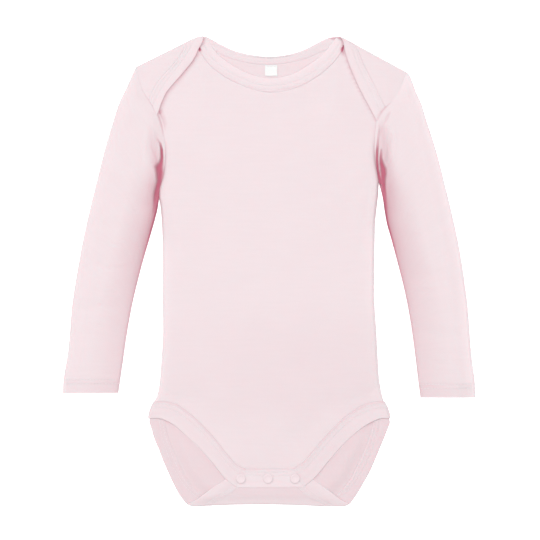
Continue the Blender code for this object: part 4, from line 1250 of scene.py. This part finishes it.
# creases with a shade value carry painted shade: the deep underarm recess is painted as dark as a
# gap, and its folds and the armhole seam lines get painted shade
sleeveCreases = {
    "left": [
        {"path": [(-104.8, 123.8), (-102.2, 120.2), (-100.8, 113.7), (-100.6, 106.2),
                  (-101.4, 101.4), (-103.2, 97.2), (-102.8, 92.6), (-103.1, 84.0), (-104.5, 79.0),
                  (-106.0, 73.5), (-106.8, 67.0), (-107.4, 60.2), (-109.2, 53.6)],
         "width": (0.9, 0.9, 1.2, 1.4, 2.0, 3.9, 3.5, 2.2, 2.0, 2.1, 2.0, 1.5, 1.0), "steep": 4,
         "height": (-0.2, -1.2, -3.4, -3.4, -3.4, -3.4, -3.4, -3.2, -2.9, -2.1, -1.2, -0.5, 0.0),
         "shade": (0.1, 0.5, 1.0, 1.0, 1.0, 1.0, 1.0, 1.0, 1.0, 0.94, 0.86, 0.55, 0.2)},
        {"path": [(-118.8, 170.5), (-108.9, 155.0), (-104.6, 147.0), (-101.0, 137.0),
                  (-98.9, 127.0)], "width": 0.9, "height": -0.2,
         "shade": (0.1, 0.3, 0.35, 0.35, 0.15)},
        {"path": [(-110.0, 134.4), (-108.4, 121.3), (-106.6, 109.0), (-107.0, 98.7)],
         "width": (2.5, 4.0, 5.0, 4.5), "height": (-0.2, -0.3, -0.4, -0.4),
         "shade": (0.06, 0.16, 0.26, 0.3)},
        {"path": [(-108.1, 96.8), (-110.0, 80.8), (-111.9, 66.7)], "width": (5.0, 7.0, 8.0),
         "shade": (0.18, 0.16, 0.14)},
        {"path": [(-110.6, 124.0), (-109.8, 116.0), (-108.0, 110.5), (-105.6, 105.0),
                  (-105.8, 100.8)], "width": (1.5, 2.0, 2.2, 2.4, 2.4),
         "height": (-0.1, -0.3, -0.4, -0.4, -0.4), "shade": (0.1, 0.26, 0.32, 0.4, 0.45)},
        {"path": [(-105.8, 131.0), (-104.9, 122.7), (-104.0, 113.0)], "width": (1.4, 1.7, 1.6),
         "height": (-0.2, -0.5, -0.3), "shade": (0.04, 0.13, 0.1)},
        *creaseRows([
            ([(-108.8, 133.0), (-108.0, 122.7), (-107.4, 113.0)], (1.2, 1.5, 1.2), (0.2, 0.5, 0.2)),
            ([(-114.5, 128.0), (-116.0, 112.0), (-115.0, 100.0)], (2.5, 3.0, 2.5), 0.5),
            ([(-111, 118), (-122, 60)], 6.0, -0.8),
            ([(-162, 44), (-130, 38)], 7.0, -0.6),
            ([(-172, 4), (-140, 2)], 6.0, -0.5),
            ([(-150, 92), (-118, 86)], 8.0, 0.5),
            ([(-176, -36), (-140, -32)], 7.0, -0.6),
            ([(-152, 93), (-136, 94.5), (-122, 93)], (0.8, 1.3, 0.8), (0, -0.5, 0)),
            ([(-149, 70), (-134, 68), (-120, 69)], (0.8, 1.3, 0.8), (0, -0.55, 0)),
            ([(-134, 58), (-126, 57), (-119, 58.5)], (0.7, 1.1, 0.7), (0, -0.55, 0)),
            ([(-156, 27), (-144, 25.5), (-129, 27)], (0.8, 1.4, 0.8), (0, -0.6, 0)),
            ([(-163, 4.5), (-148, 2.0), (-132, 4.5)], (0.7, 1.3, 0.8), (0, -0.65, 0)),
            ([(-154, 7.5), (-143, 6.0), (-131, 8.0)], (0.7, 1.1, 0.7), (0, 0.45, 0)),
            ([(-160, -19), (-149, -20.5), (-137, -19)], (0.8, 1.3, 0.8), (0, -0.6, 0)),
            ([(-166, -35), (-158, -33.5), (-149, -35)], (0.7, 1.1, 0.7), (0, -0.55, 0)),
            ([(-165, -49), (-157, -50.5), (-149, -49)], (0.7, 1.1, 0.7), (0, -0.55, 0)),
        ]),
    ],
    "right": [
        {"path": [(103.4, 140.1), (103.2, 132.5), (102.0, 118.4), (101.5, 111.9), (101.5, 104.3),
                  (102.0, 94.9), (103.4, 88.4), (105.3, 82.7)],
         "width": (0.8, 0.9, 1.0, 1.1, 1.1, 1.4, 1.7, 1.8), "steep": 4,
         "height": (-0.3, -1.0, -3.0, -3.2, -3.2), "shade": (0.0, 0.28, 0.9, 1.0, 1.0, 1.0)},
        {"path": [(105.3, 113.7), (105.0, 106.2), (105.8, 100.6), (107.2, 95.9), (107.6, 91.2),
                  (107.2, 85.5), (107.6, 79.0), (108.4, 72.4), (109.5, 63.0), (111.0, 53.6)],
         "width": (0.9, 1.2, 2.0, 2.8, 2.9, 2.3, 1.9, 1.7, 1.2, 0.8), "steep": 4,
         "height": (-0.6, -2.2, -3.2, -3.2, -3.2, -3.0, -2.0, -1.0, -0.4, 0.0),
         "shade": (0.35, 0.8, 1.0, 1.0, 1.0, 1.0, 1.0, 0.9, 0.6, 0.1)},
        {"path": [(114.7, 127.8), (112.8, 113.7), (111.9, 101.5)], "width": (1.4, 1.8, 1.8),
         "height": -0.6, "shade": (0.08, 0.2, 0.2)},
        {"path": [(107.2, 134.4), (108.1, 113.7), (110.9, 94.9), (113.7, 76.1), (115.5, 62.0)],
         "width": (3.0, 5.0, 6.5, 8.0, 8.0), "height": (-0.2, -0.3, -0.3, 0.0, 0.0),
         "shade": (0.16, 0.26, 0.28, 0.2, 0.08)},
        {"path": [(107.4, 138.8), (105.8, 133.0), (105.3, 127.8)], "width": 2.4,
         "shade": (0.1, 0.22, 0.2)},
        {"path": [(109.8, 134.0), (110.0, 118.0), (109.5, 106.0)], "width": (1.6, 1.8, 1.4),
         "height": 0.6},
        {"path": [(117.5, 130.0), (117.0, 114.0), (116.0, 102.0)], "width": (2.5, 3.0, 2.5),
         "height": 0.5},
        {"path": [(101.6, 142.5), (104.8, 148.6), (110.0, 154.6), (115.5, 160.2)], "width": 1.0,
         "height": (-0.2, -0.25, -0.25, 0.0), "shade": (0.3, 0.32, 0.28, 0.0)},
        {"path": [(104.8, 139.5), (108.2, 146.2), (115.0, 155.5)], "width": (0.9, 1.2, 1.0),
         "height": (0.2, 0.5, 0.2)},
        {"path": [(105.4, 135.4), (107.8, 138.8), (110.6, 143.3), (112.4, 146.8), (114.4, 150.2)],
         "width": (1.5, 1.7, 1.5, 1.4, 1.2), "height": (-0.2, -0.4, -0.6, -0.6, -0.1),
         "shade": (0.08, 0.12, 0.17, 0.19, 0.0)},
        *creaseRows([
            ([(112, 118), (124, 56)], 6.0, -0.8),
            ([(122, 47), (160, 42)], 7.0, -0.6),
            ([(128, -4), (166, -8)], 6.0, -0.5),
            ([(138, -56), (178, -60)], 7.0, -0.6),
            ([(120, 64), (131, 63), (143, 65)], (0.8, 1.3, 0.8), (0, -0.35, 0)),
            ([(124, 49), (137, 47.5), (151, 49)], (0.8, 1.3, 0.8), (0, -0.35, 0)),
            ([(128, 32), (142, 33.5), (156, 32)], (0.8, 1.3, 0.8), (0, -0.35, 0)),
            ([(134, -20), (148, -18.5), (163, -20)], (0.7, 1.3, 0.8), (0, -0.4, 0)),
            ([(140, -26), (150, -24.5), (160, -26)], (0.7, 1.1, 0.7), (0, 0.3, 0)),
            ([(141, -57), (151, -58.5), (162, -57)], (0.7, 1.2, 0.7), (0, -0.35, 0)),
            ([(150, -85), (160, -86.5), (171, -85)], (0.7, 1.1, 0.7), (0, -0.35, 0)),
        ]),
    ],
}


# painted shade in from the inner edge of the sleeve and up the lower armhole
def shadeInside(side, points):
    armhole = side.curves["armhole"]
    lower = armhole[armhole[:, 1] < armhole[-1, 1] + innerShade["armholePart"]]
    line = chained(lower, side.curves["sleeveInner"])
    distance = nearLine(points[:, :2], line)[0]
    stops = innerShade["distances"]
    across = np.array([np.interp(distance, stops, row) for row in innerShade["shades"]])
    place = np.interp(points[:, 1], innerShade["heights"], np.arange(len(across)))
    low = np.minimum(place.astype(int), len(across) - 2)
    share, column = place - low, np.arange(len(points))
    tone = (1 - share) * across[low, column] + share * across[low + 1, column]
    return tone * ease(points[:, 2] / sleeveLook["paintAbove"])


# painted light along the outer edge of the sleeve
def paintedLightOutside(side, points):
    gap = nearLine(points[:, :2], side.curves["sleeveOuter"])[0]
    lift = sleeveLook["edgePaintedLight"][side.name] * np.exp(-gap / sleeveLook["edgePaintedLightReach"])
    return -lift * ease(points[:, 2] / sleeveLook["paintAbove"])


# the upper layer over one row from the outer to the inner edge, as heights and painted shades
def sleeveCrown(side, row, outerRadius, innerRadius, armhole):
    creases = sleeveCreases[side.name]
    width = runLength(row)[-1]
    across = np.linspace(outerRadius, width - innerRadius, sleeveLook["topSamples"])
    plan = pointsAt(row, across)
    base = np.interp(across, [across[0], across[-1]], [2 * outerRadius, 2 * innerRadius])
    inside, outside = across - outerRadius, across[-1] - across
    fall = np.clip(1 - outside / sleeveLook["fall"], 0, 1)
    profile = ease(inside / sleeveLook["rise"]) * (1 - fall**2)
    edgeFree = ease(np.minimum(inside, outside) / sleeveLook["edgeFree"])
    soft, softShade = creased(plan, [crease for crease in creases if "steep" not in crease])
    body = base + sleeveLook["puff"] * profile + edgeFree * soft
    body += sleeveLook["rumple"] * edgeFree * crumple(plan, sleeveLook["crumple"])
    lapEnd = side.curves["lapEdge"][-1][1]
    levels = [frontLook["recessEdge"], frontLook["lapEndEdge"], layers["lap"], layers["lap"]]
    heights = [armhole[-1][1], lapEnd - 12, lapEnd + 8, armhole[0][1]]
    seam = np.interp(plan[:, 1], heights, levels)
    toSeam = nearLine(plan, armhole)[0]
    near = 1 - ease(toSeam / sleeveLook["seamReach"])
    top = body + (seam - body) * near * edgeFree
    dips = (sleeveLook["lowerDip"], sleeveLook["upperDip"][side.name])
    seamDip = np.interp(plan[:, 1], sleeveLook["dipHeights"], dips)
    top -= groove(toSeam, seamDip, sleeveLook["dipWidth"])
    deep, shade = creased(plan, [crease for crease in creases if "steep" in crease])
    top = np.maximum(top + deep, sleeveLook["lowest"])
    return across, top, 1 - (1 - shade) * (1 - softShade)


# how far the lower layer lifts off the table over one row
def underside(side, row, outerRadius, innerRadius, free):
    ends = outerRadius, runLength(row)[-1] - innerRadius
    across = np.linspace(*ends, sleeveLook["underPoints"])[1:-1]
    points = pointsAt(row, across)
    moved = points + sleeveLook["underShift"]
    plain = [crease for crease in sleeveCreases[side.name] if "shade" not in crease]
    folds = np.abs(creased(moved, plain)[0])
    uneven = sleeveLook["underRumple"] * (1 + rumple(points, 24.0, 9.3))
    lift = (sleeveLook["underFold"] * folds + uneven) * free
    fromEdges = np.minimum(across - across[0], across[-1] - across)
    return across, lift * ease(fromEdges / sleeveLook["underEdge"])


# one ring of the tube: the underside, round the inner edge, back over the top, round the outer edge
def sleeveRing(row, outerRadius, innerRadius, crown, under, inset):
    width = runLength(row)[-1]
    across, top, shade = crown
    # mask holds each point's painted shade, none on the underside and the outer round
    section, mask = [], []
    for a, lift in zip(*under):
        section.append((a, inset + lift))
        mask.append(0.0)
    for angle in np.linspace(-90, 90, sleeveLook["turnPoints"]):
        turn, reach = math.radians(angle), innerRadius - inset
        x = width - innerRadius + reach * math.cos(turn)
        section.append((x, innerRadius + reach * math.sin(turn)))
        mask.append(shade[-1])
    for x in np.linspace(width - innerRadius, outerRadius, sleeveLook["topPoints"])[1:-1]:
        section.append((x, np.interp(x, across, top) - inset))
        mask.append(np.interp(x, across, shade))
    for angle in np.linspace(90, 270, sleeveLook["turnPoints"]):
        turn, reach = math.radians(angle), outerRadius - inset
        section.append((outerRadius + reach * math.cos(turn), outerRadius + reach * math.sin(turn)))
        mask.append(0.0)
    section = np.array(section)
    return lifted(pointsAt(row, section[:, 0]), section[:, 1]), section[:, 0], np.array(mask)


# shares of the length from the armhole down, closer together at the underarm and the hem's edge
def sleeveShares(length):
    first = sleeveLook["shoulderShare"]
    hem = 1 - sleeveLook["hem"] / length
    near = np.linspace(0, first, sleeveLook["shoulderRings"] + 1)[:-1]
    middle = np.linspace(first, 1 - (sleeveLook["hem"] + 0.8) / length, sleeveLook["rings"])
    last = np.linspace(hem + 0.006, 1.0, sleeveLook["hemRings"])
    return hem, np.concatenate([near, middle, [hem - 0.0012, hem + 0.0012], last])


def makeSleeve(name, side, node):  # gives back its hem stitches
    armhole = shifted(side.curves["armhole"], -side.sign * sleeveLook["pastSeam"])
    outer = np.vstack([armhole[:1], side.curves["sleeveOuter"][5:]])
    inner = np.vstack([armhole[-1:], side.curves["sleeveInner"][5:]])
    cuff = np.array([outer[-1], inner[-1]])
    length = runLength(inner)[-1]
    hem, down = sleeveShares(length)
    start, end = evenly(armhole, sleeveLook["columns"]), evenly(cuff, sleeveLook["columns"])
    fromCuff = length * (1 - down)
    longer = runLength(outer)[-1] - length
    level = sleeveLook["levelRows"]
    outerAt = length + longer - fromCuff - longer * fade(fromCuff, level, length - level)
    rows = coonsRows(start, end, pointsAt(outer, outerAt), pointsAt(inner, down * length))
    dip, step = sleeveLook["hemStep"]
    outerRings, innerRings = [], []
    for k, share in enumerate(down):
        keys = ("outerRadii", "innerRadii")
        radii = [np.interp(share, sleeveLook["stops"], sleeveLook[key]) for key in keys]
        across, top, tone = sleeveCrown(side, rows[k], *radii, armhole)
        wall = sleeveLook["hemWall"] if share > hem else layers["cloth"]
        top = top + (step if share > hem + 0.002 else dip * (abs(share - hem) < 0.002))
        crown = across, top, deeper(tone, np.interp(fromCuff[k], *sleeveLook["hemShade"]))
        free = fade(share, *sleeveLook["underFrom"]) * fade(fromCuff[k], *sleeveLook["underTo"])
        under = underside(side, rows[k], *radii, free)
        for rings, inset in ((outerRings, 0.0), (innerRings, wall)):
            points, reach, mask = sleeveRing(rows[k], *radii, crown, under, inset)
            marks = np.stack([reach, np.full(len(reach), share * length)], axis=1)
            rings.append((points, marks, mask))
    rings = outerRings + innerRings[::-1]
    weave = np.vstack([ring[1] for ring in rings])
    places = np.vstack([ring[0] for ring in rings])
    # painted shade along the inner edge and painted light along the outer edge, on top of the
    # creases' and hem's painted shade
    shade = deeper(np.concatenate([ring[2] for ring in rings]), shadeInside(side, places))
    shade = deeper(shade, paintedLightOutside(side, places))
    loops = [ring[0] for ring in rings]
    piece = ringSolid(name, loops, weave, shade, (node,), loop=True)
    piece.data.materials.append(knitCloth)
    toCuff = outerRings[-1][0][30] - outerRings[-4][0][30]  # along a line on the underside
    toCuff = toCuff / np.linalg.norm(toCuff)
    lines = []
    for at in sleeveLook["hemStitches"]:
        share = 1 - at / length
        k = int(np.searchsorted(down, share))
        t = (share - down[k - 1]) / (down[k] - down[k - 1])
        ring = (1 - t) * outerRings[k - 1][0] + t * outerRings[k][0]
        ring = np.vstack([ring, ring[:1]])
        normals = np.cross(np.gradient(ring, axis=0), toCuff)
        normals /= np.linalg.norm(normals, axis=1)[:, None]
        middle = ring.mean(axis=0)
        outwards = np.sign(np.sum(normals * (ring - middle), axis=1))[:, None]
        lines.append((ring, normals * outwards))
    return layStitches(name + "HemStitches", lines)


# run the cloth pieces
makeFront()
print("front panel made")
makeBack()
print("back panel made")
hemLeft = makeSleeve("sleeveLeft", left, "sleeve_left")
hemRight = makeSleeve("sleeveRight", right, "sleeve_right")
print("sleeves made")

bandSteps, bandShades = bandShape["steps"], bandShape["shades"]


def neckFrontStations():
    ends = lapBend + 0.3
    rails = []
    for key in ("frontSeam", "frontEdge"):
        line = neck[key]
        inside = (left.depth(line) > ends) & (right.depth(line) > ends)
        rails.append(evenly(line[inside], bandSteps["neckFront"]))
    middle, more = bandShape["neckDroop"]
    droop = middle + more * fade(np.abs(rails[1][:, 0]), *bandShape["neckDroopOut"])
    return flatStations(*rails, layers["frontBand"], 1.0, droop=droop)


def lapStations(side):
    rails, steps = [], bandSteps["lap"]
    for key in ("lapSeam", "lapEdge"):
        line = side.curves[key]
        start = side.atDepth(line, [lapBend])
        ahead = line[-1] - line[-4]
        end = line[-1] + layers["underSleeve"] * ahead / np.linalg.norm(ahead)
        rails.append(evenly(np.vstack([start, line[side.depth(line) > lapBend + 0.5], end]), steps))
    dip = bandShape["lapEndDip"] * fade(np.arange(steps + 1), steps - 3, 3)
    return flatStations(*rails, layers["lap"] - dip, 1.0)


def neckBackStations():
    rails = []
    for key in ("backSeam", "backEdge"):
        line = neck[key]
        start, end = left.atDepth(line, [lapBend]), right.atDepth(line[::-1], [lapBend])
        middle = line[(left.depth(line) > lapBend + 0.5) & (right.depth(line) > lapBend + 0.5)]
        rails.append(evenly(np.vstack([start, middle, end]), bandSteps["neckBack"]))
    flat = flatStations(*rails, 0.0, -1.0, shade=bandShades["neckBack"])
    leftLap, rightLap = lapStations(left), lapStations(right)
    leftTurn = bendStations(flat[0], leftLap[0], left.outward, lapBend, bandSteps["lapTurn"])
    rightTurn = bendStations(flat[-1], rightLap[0], right.outward, lapBend, bandSteps["lapTurn"])
    return leftLap[::-1] + leftTurn[::-1] + flat + rightTurn + rightLap


def legStations(side):
    def rails(seam, edge, part):
        return [evenly(side.curves[key], bandSteps[part]) for key in (seam, edge)]

    seam, edge = [line[::-1] for line in rails("legSeam", "legEdge", "leg")]
    level = frontHeight(seam) + layers["band"] - layers["cloth"]
    droop = bandShape["droop"] * fade(edge[:, 1], *bandShape["droopBelow"])
    frontPart = flatStations(seam, edge, level, 1.0, shade=bandShades["leg"], droop=droop)
    backRails = rails("backLegSeam", "backLegEdge", "legBack")
    backPart = flatStations(*backRails, 0.0, -1.0, shade=bandShades["legBack"])
    seam, edge = rails("flapSeam", "flapEdge", "tab")
    droop = bandShape["tabDroop"] * fade(edge[:, 1], *bandShape["tabDroopAbove"])
    tab = flatStations(seam, edge, tabHeight(seam), 1.0, shade=bandShades["tab"], droop=droop)
    hipOut, foldOut, steps = np.array([side.sign, 0.0]), np.array([0.0, -1.0]), bandSteps["legTurn"]
    hip = bendStations(backPart[0], frontPart[-1], hipOut, hipBend, steps)
    fold = bendStations(backPart[-1], tab[0], foldOut, flapBend, steps)
    return frontPart + hip[::-1] + backPart + fold + tab


def placketStations():
    rails = []
    for key in ("seam", "edge"):
        low, high = np.array(placketLook[key], float)
        reach = placketLook["underLeg"] * (high - low) / np.linalg.norm(high - low)
        rails.append(evenly(np.array([low - reach, high + reach]), bandSteps["placket"]))
    fromEnd = np.minimum(rails[0][:, 0] - rails[0][0, 0], rails[0][-1, 0] - rails[0][:, 0])
    dip = placketLook["endDip"] * (1 - ease(fromEnd / (placketLook["underLeg"] + 1.5)))
    level, droop = layers["crotch"] - dip, placketLook["droop"]
    return flatStations(*rails, level, 1.0, shade=bandShades["placket"], droop=droop)


# painted shade along the seams and lap edges, and dark painted dots where the bindings cross
neckShadeSpots = [
    {"path": neckCut["frontSeam"], "width": 0.8, "shade": 0.12},
    {"path": [(-65.8, 210.4), (-64.8, 207.4)], "width": 1.2, "shade": 1.5},
    {"path": leftCut["lapEdge"][:4], "width": 1.5, "shade": 0.35},
    {"path": [(69.9, 211.3), (69.0, 208.6), (68.7, 206.4)], "width": (1.2, 1.5, 1.4),
     "shade": (1.4, 1.4, 1.0)},
    {"path": rightCut["lapEdge"][:4], "width": 1.5, "shade": 0.45},
]
lapShadeSpots = [
    {"path": leftCut["lapEdge"], "width": 0.7, "shade": 0.4},
    {"path": rightCut["lapEdge"], "width": 0.9, "shade": (0.5, 0.25, 0.15)},
    {"path": [(101.6, 142.5), (104.8, 148.6), (110.0, 154.6)], "width": 1.0, "shade": 0.2},
    {"path": rightCut["lapSeam"], "width": 0.8, "shade": 0.06},
    {"path": [(58.3, 218.5), (63.0, 219.6), (67.0, 218.4)], "width": 1.0, "shade": 0.5},
    {"path": neckCut["backSeam"][1:-1], "width": 0.8, "shade": 0.09},
]
legShadeSpots = [{"path": cut["legSeam"], "width": 1.2, "shade": 0.14} for cut in (leftCut, rightCut)]
placketShadeSpots = [{"path": placketLook["seam"], "width": 1.0, "shade": 0.1}]
# the stations of each binding, the node it replaces, the painted light or shade of its free edge and
# its painted shade marks
bindings = {
    "neckBindingFront": (neckFrontStations(), "neck_binding_front", -0.06, neckShadeSpots),
    "neckBindingBack": (neckBackStations(), "neck_binding_back", 0.0, lapShadeSpots),
    "legBindingLeft": (legStations(left), "leg_binding_left", -0.07, legShadeSpots),
    "legBindingRight": (legStations(right), "leg_binding_right", -0.07, legShadeSpots),
    "crotchPlacket": (placketStations(), "crotch_placket_front", -0.08, placketShadeSpots),
}
bands = {}
for name, (stations, node, rimShade, shadeSpots) in bindings.items():
    bands[name] = bindingPiece(name, stations, node, rimShade, shadeSpots)
print("bindings and stitches made")

# snaps: fluted rings pressed through the placket
snapLook = {
    "places": [(-26.4, -194.8), (-1.0, -194.8), (24.4, -194.8)],
    "profile": [  # radius and height, from the middle to the foot
        (1.6, 0.18), (2.3, 0.22), (2.6, 0.32), (2.95, 0.46), (3.4, 0.54), (3.9, 0.5),
        (4.35, 0.36), (4.62, 0.18), (4.7, 0.06), (4.6, 0.0),
    ],
    "clear": 0.05,  # between the cap and the placket
    "steps": 48,
    "flutes": 8,
    "fluteDepth": 0.06,
    "fluteRadii": (2.4, 3.6),
    "sharpFrom": 70,
}


def snapCap(number, place):
    rings = []
    start, end = snapLook["fluteRadii"]
    for radius, height in snapLook["profile"]:
        ring, fluted = [], start < radius < end
        for k in range(snapLook["steps"]):
            angle = 2 * math.pi * k / snapLook["steps"]
            flute = snapLook["fluteDepth"] * math.cos(angle * snapLook["flutes"]) * fluted
            x, y = place[0] + radius * math.cos(angle), place[1] + radius * math.sin(angle)
            ring.append((x, y, layers["crotch"] + snapLook["clear"] + height + flute))
        rings.append(np.array(ring))
    count = len(rings) * snapLook["steps"]
    name, node = f"snapCap{number}", f"snap_cap_{number}"
    weave, shade, sharp = np.zeros((count, 2)), np.zeros(count), snapLook["sharpFrom"]
    piece = ringSolid(name, rings, weave, shade, (node,), sharpAngle=sharp)
    piece.data.materials.append(snapEnamel)


for number, place in enumerate(snapLook["places"], start=1):
    snapCap(number, place)
    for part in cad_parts[f"snap_stud_{number}"].material_slots:
        part.material = snapSteel
print("snaps made")

# label: a short tape folded double and caught under the back neck binding
labelLook = {
    "middle": (2.0, 188.2),
    "size": (11.5, 10.0),
    "low": 1.55,  # height of its underside
    "wall": 0.32,
    "curl": 0.35,  # how far its lower end stands up
    "fold": 0.06,  # the share of its height that the rounded lower fold takes up
    "columns": 24,
    "rows": 22,
    "tack": (0.8, 1.0, 0.03),  # the sewn line's distance from the sides and the top, and its lift
    "sharpFrom": 60,
}


def makeLabel():
    (midX, midY), (wide, tall) = labelLook["middle"], labelLook["size"]
    low, wall, turn = labelLook["low"], labelLook["wall"], labelLook["fold"]
    columns, rows = labelLook["columns"], labelLook["rows"]
    rings, weave = [], []
    for c in range(columns + 1):
        x = (c / columns - 0.5) * wide
        ring = []
        for face in (1, -1):
            for share in np.linspace(0.5 * face, -0.5 * face, rows + 1):
                fold = math.sqrt(max(0.0, 1 - max(0.0, (-share - 0.5 + turn) / turn) ** 2))
                curl = labelLook["curl"] * (0.5 - share) ** 2 * (1 + 0.25 * math.cos(x * 0.5))
                height = low + wall + curl + face * wall * max(fold, 0.05)
                ring.append((midX + x, midY + share * tall, height))
                weave.append((x, share * tall * face))
        rings.append(np.array(ring))
    weave, shade = np.array(weave), np.zeros(len(weave))
    nodes, sharp = ("neck_label",), labelLook["sharpFrom"]
    piece = ringSolid("neckLabel", rings, weave, shade, nodes, sharpAngle=sharp)
    piece.data.materials.append(tape)


def tackLabel():
    (midX, midY), (wide, tall) = labelLook["middle"], labelLook["size"]
    side, down, lift = labelLook["tack"]
    top, half = midY + tall / 2 - down, wide / 2 - side
    level = labelLook["low"] + 2 * labelLook["wall"] + lift
    line = np.array([(midX - half, top, level), (midX + half, top, level)])
    up = np.array([(0, 0, 1.0), (0, 0, 1.0)])
    return layStitches("neckLabelStitches", [(line, up)])


makeLabel()
labelTack = tackLabel()
print("label made")

# what each sheet of cloth was cut to, in metres
sheets = {
    "frontPanel": {"flat": (0.255, 0.402), "held": "laid", "area": 0.0725, "rests_on": ["backPanel"]},
    "backPanel": {"flat": (0.286, 0.476), "held": "folded", "area": 0.0885},
    "sleeveLeft": {"flat": (0.128, 0.316), "held": "laid", "area": 0.033, "with_pieces": [hemLeft]},
    "sleeveRight": {"flat": (0.128, 0.316), "held": "laid", "area": 0.033, "with_pieces": [hemRight]},
    "neckBindingFront": {"flat": (0.0135, 0.17), "held": "laid", "rests_on": ["backPanel"]},
    "neckBindingBack": {"flat": (0.0118, 0.322), "held": "folded"},
    "legBindingLeft": {"flat": (0.016, 0.272), "held": "folded"},
    "legBindingRight": {"flat": (0.016, 0.272), "held": "folded"},
    "crotchPlacket": {"flat": (0.0175, 0.06), "held": "laid", "rests_on": ["backPanel"]},
    "neckLabel": {"flat": (0.0115, 0.0102), "held": "laid", "rests_on": ["backPanel"],
                  "with_pieces": [labelTack]},
}
for name, cut in sheets.items():
    if name in bands:
        cut["with_pieces"] = [bands[name]]

# floor, light and camera
floorLook = {"reach": 4.0, "level": -0.0002}  # in metres
paperLook = {
    "Base Color": (0.93, 0.93, 0.93, 1),
    "Roughness": 0.95,
    "Specular IOR Level": 0.1,
    "Emission Color": (1.0, 1.0, 1.0, 1),
    "Emission Strength": 0.35,  # a light table
}
floorMesh = bpy.data.meshes.new("floor")
around = ((-1, -1), (1, -1), (1, 1), (-1, 1))
corners = [(x * floorLook["reach"], y * floorLook["reach"], floorLook["level"]) for x, y in around]
floorMesh.from_pydata(corners, [], [(0, 1, 2, 3)])
floor = bpy.data.objects.new("floor", floorMesh)
bpy.context.scene.collection.objects.link(floor)
paper = bpy.data.materials.new("whitePaper")
paper.use_nodes = True
for label, value in paperLook.items():
    paper.node_tree.nodes["Principled BSDF"].inputs[label].default_value = value
floorMesh.materials.append(paper)

lights = {
    "overheadSoftbox": {"at": (0.0, 0.25, 2.5), "size": 1.5, "power": 62.0},
    "leftSoftbox": {"at": (-1.5, 0.6, 1.6), "size": 1.2, "power": 8.0},
}
for name, lamp in lights.items():
    data = bpy.data.lights.new(name, "AREA")
    data.size = lamp["size"]
    data.energy = lamp["power"]
    made = bpy.data.objects.new(name, data)
    made.location = lamp["at"]
    made.rotation_euler = (-Vector(lamp["at"])).to_track_quat("-Z", "Y").to_euler()
    bpy.context.scene.collection.objects.link(made)
world = bpy.data.worlds.new("studio")
world.use_nodes = True
world.node_tree.nodes["Background"].inputs["Color"].default_value = (1.0, 1.0, 1.0, 1)
world.node_tree.nodes["Background"].inputs["Strength"].default_value = 0.4
bpy.context.scene.world = world
bpy.context.scene.view_settings.view_transform = "Standard"

# straight above, with the height in metres and the middle and width of what it sees in millimetres
cameraLook = {"height": 3.0, "middle": (0.94, 0.94), "seen": 507.6, "sensor": 36.0}
camera = bpy.data.objects.new("camera", bpy.data.cameras.new("camera"))
camera.data.sensor_width = cameraLook["sensor"]
camera.data.lens = cameraLook["sensor"] * cameraLook["height"] / (cameraLook["seen"] * mm)
camera.location = (cameraLook["middle"][0] * mm, cameraLook["middle"][1] * mm, cameraLook["height"])
bpy.context.scene.collection.objects.link(camera)
bpy.context.scene.camera = camera
print("stage made")
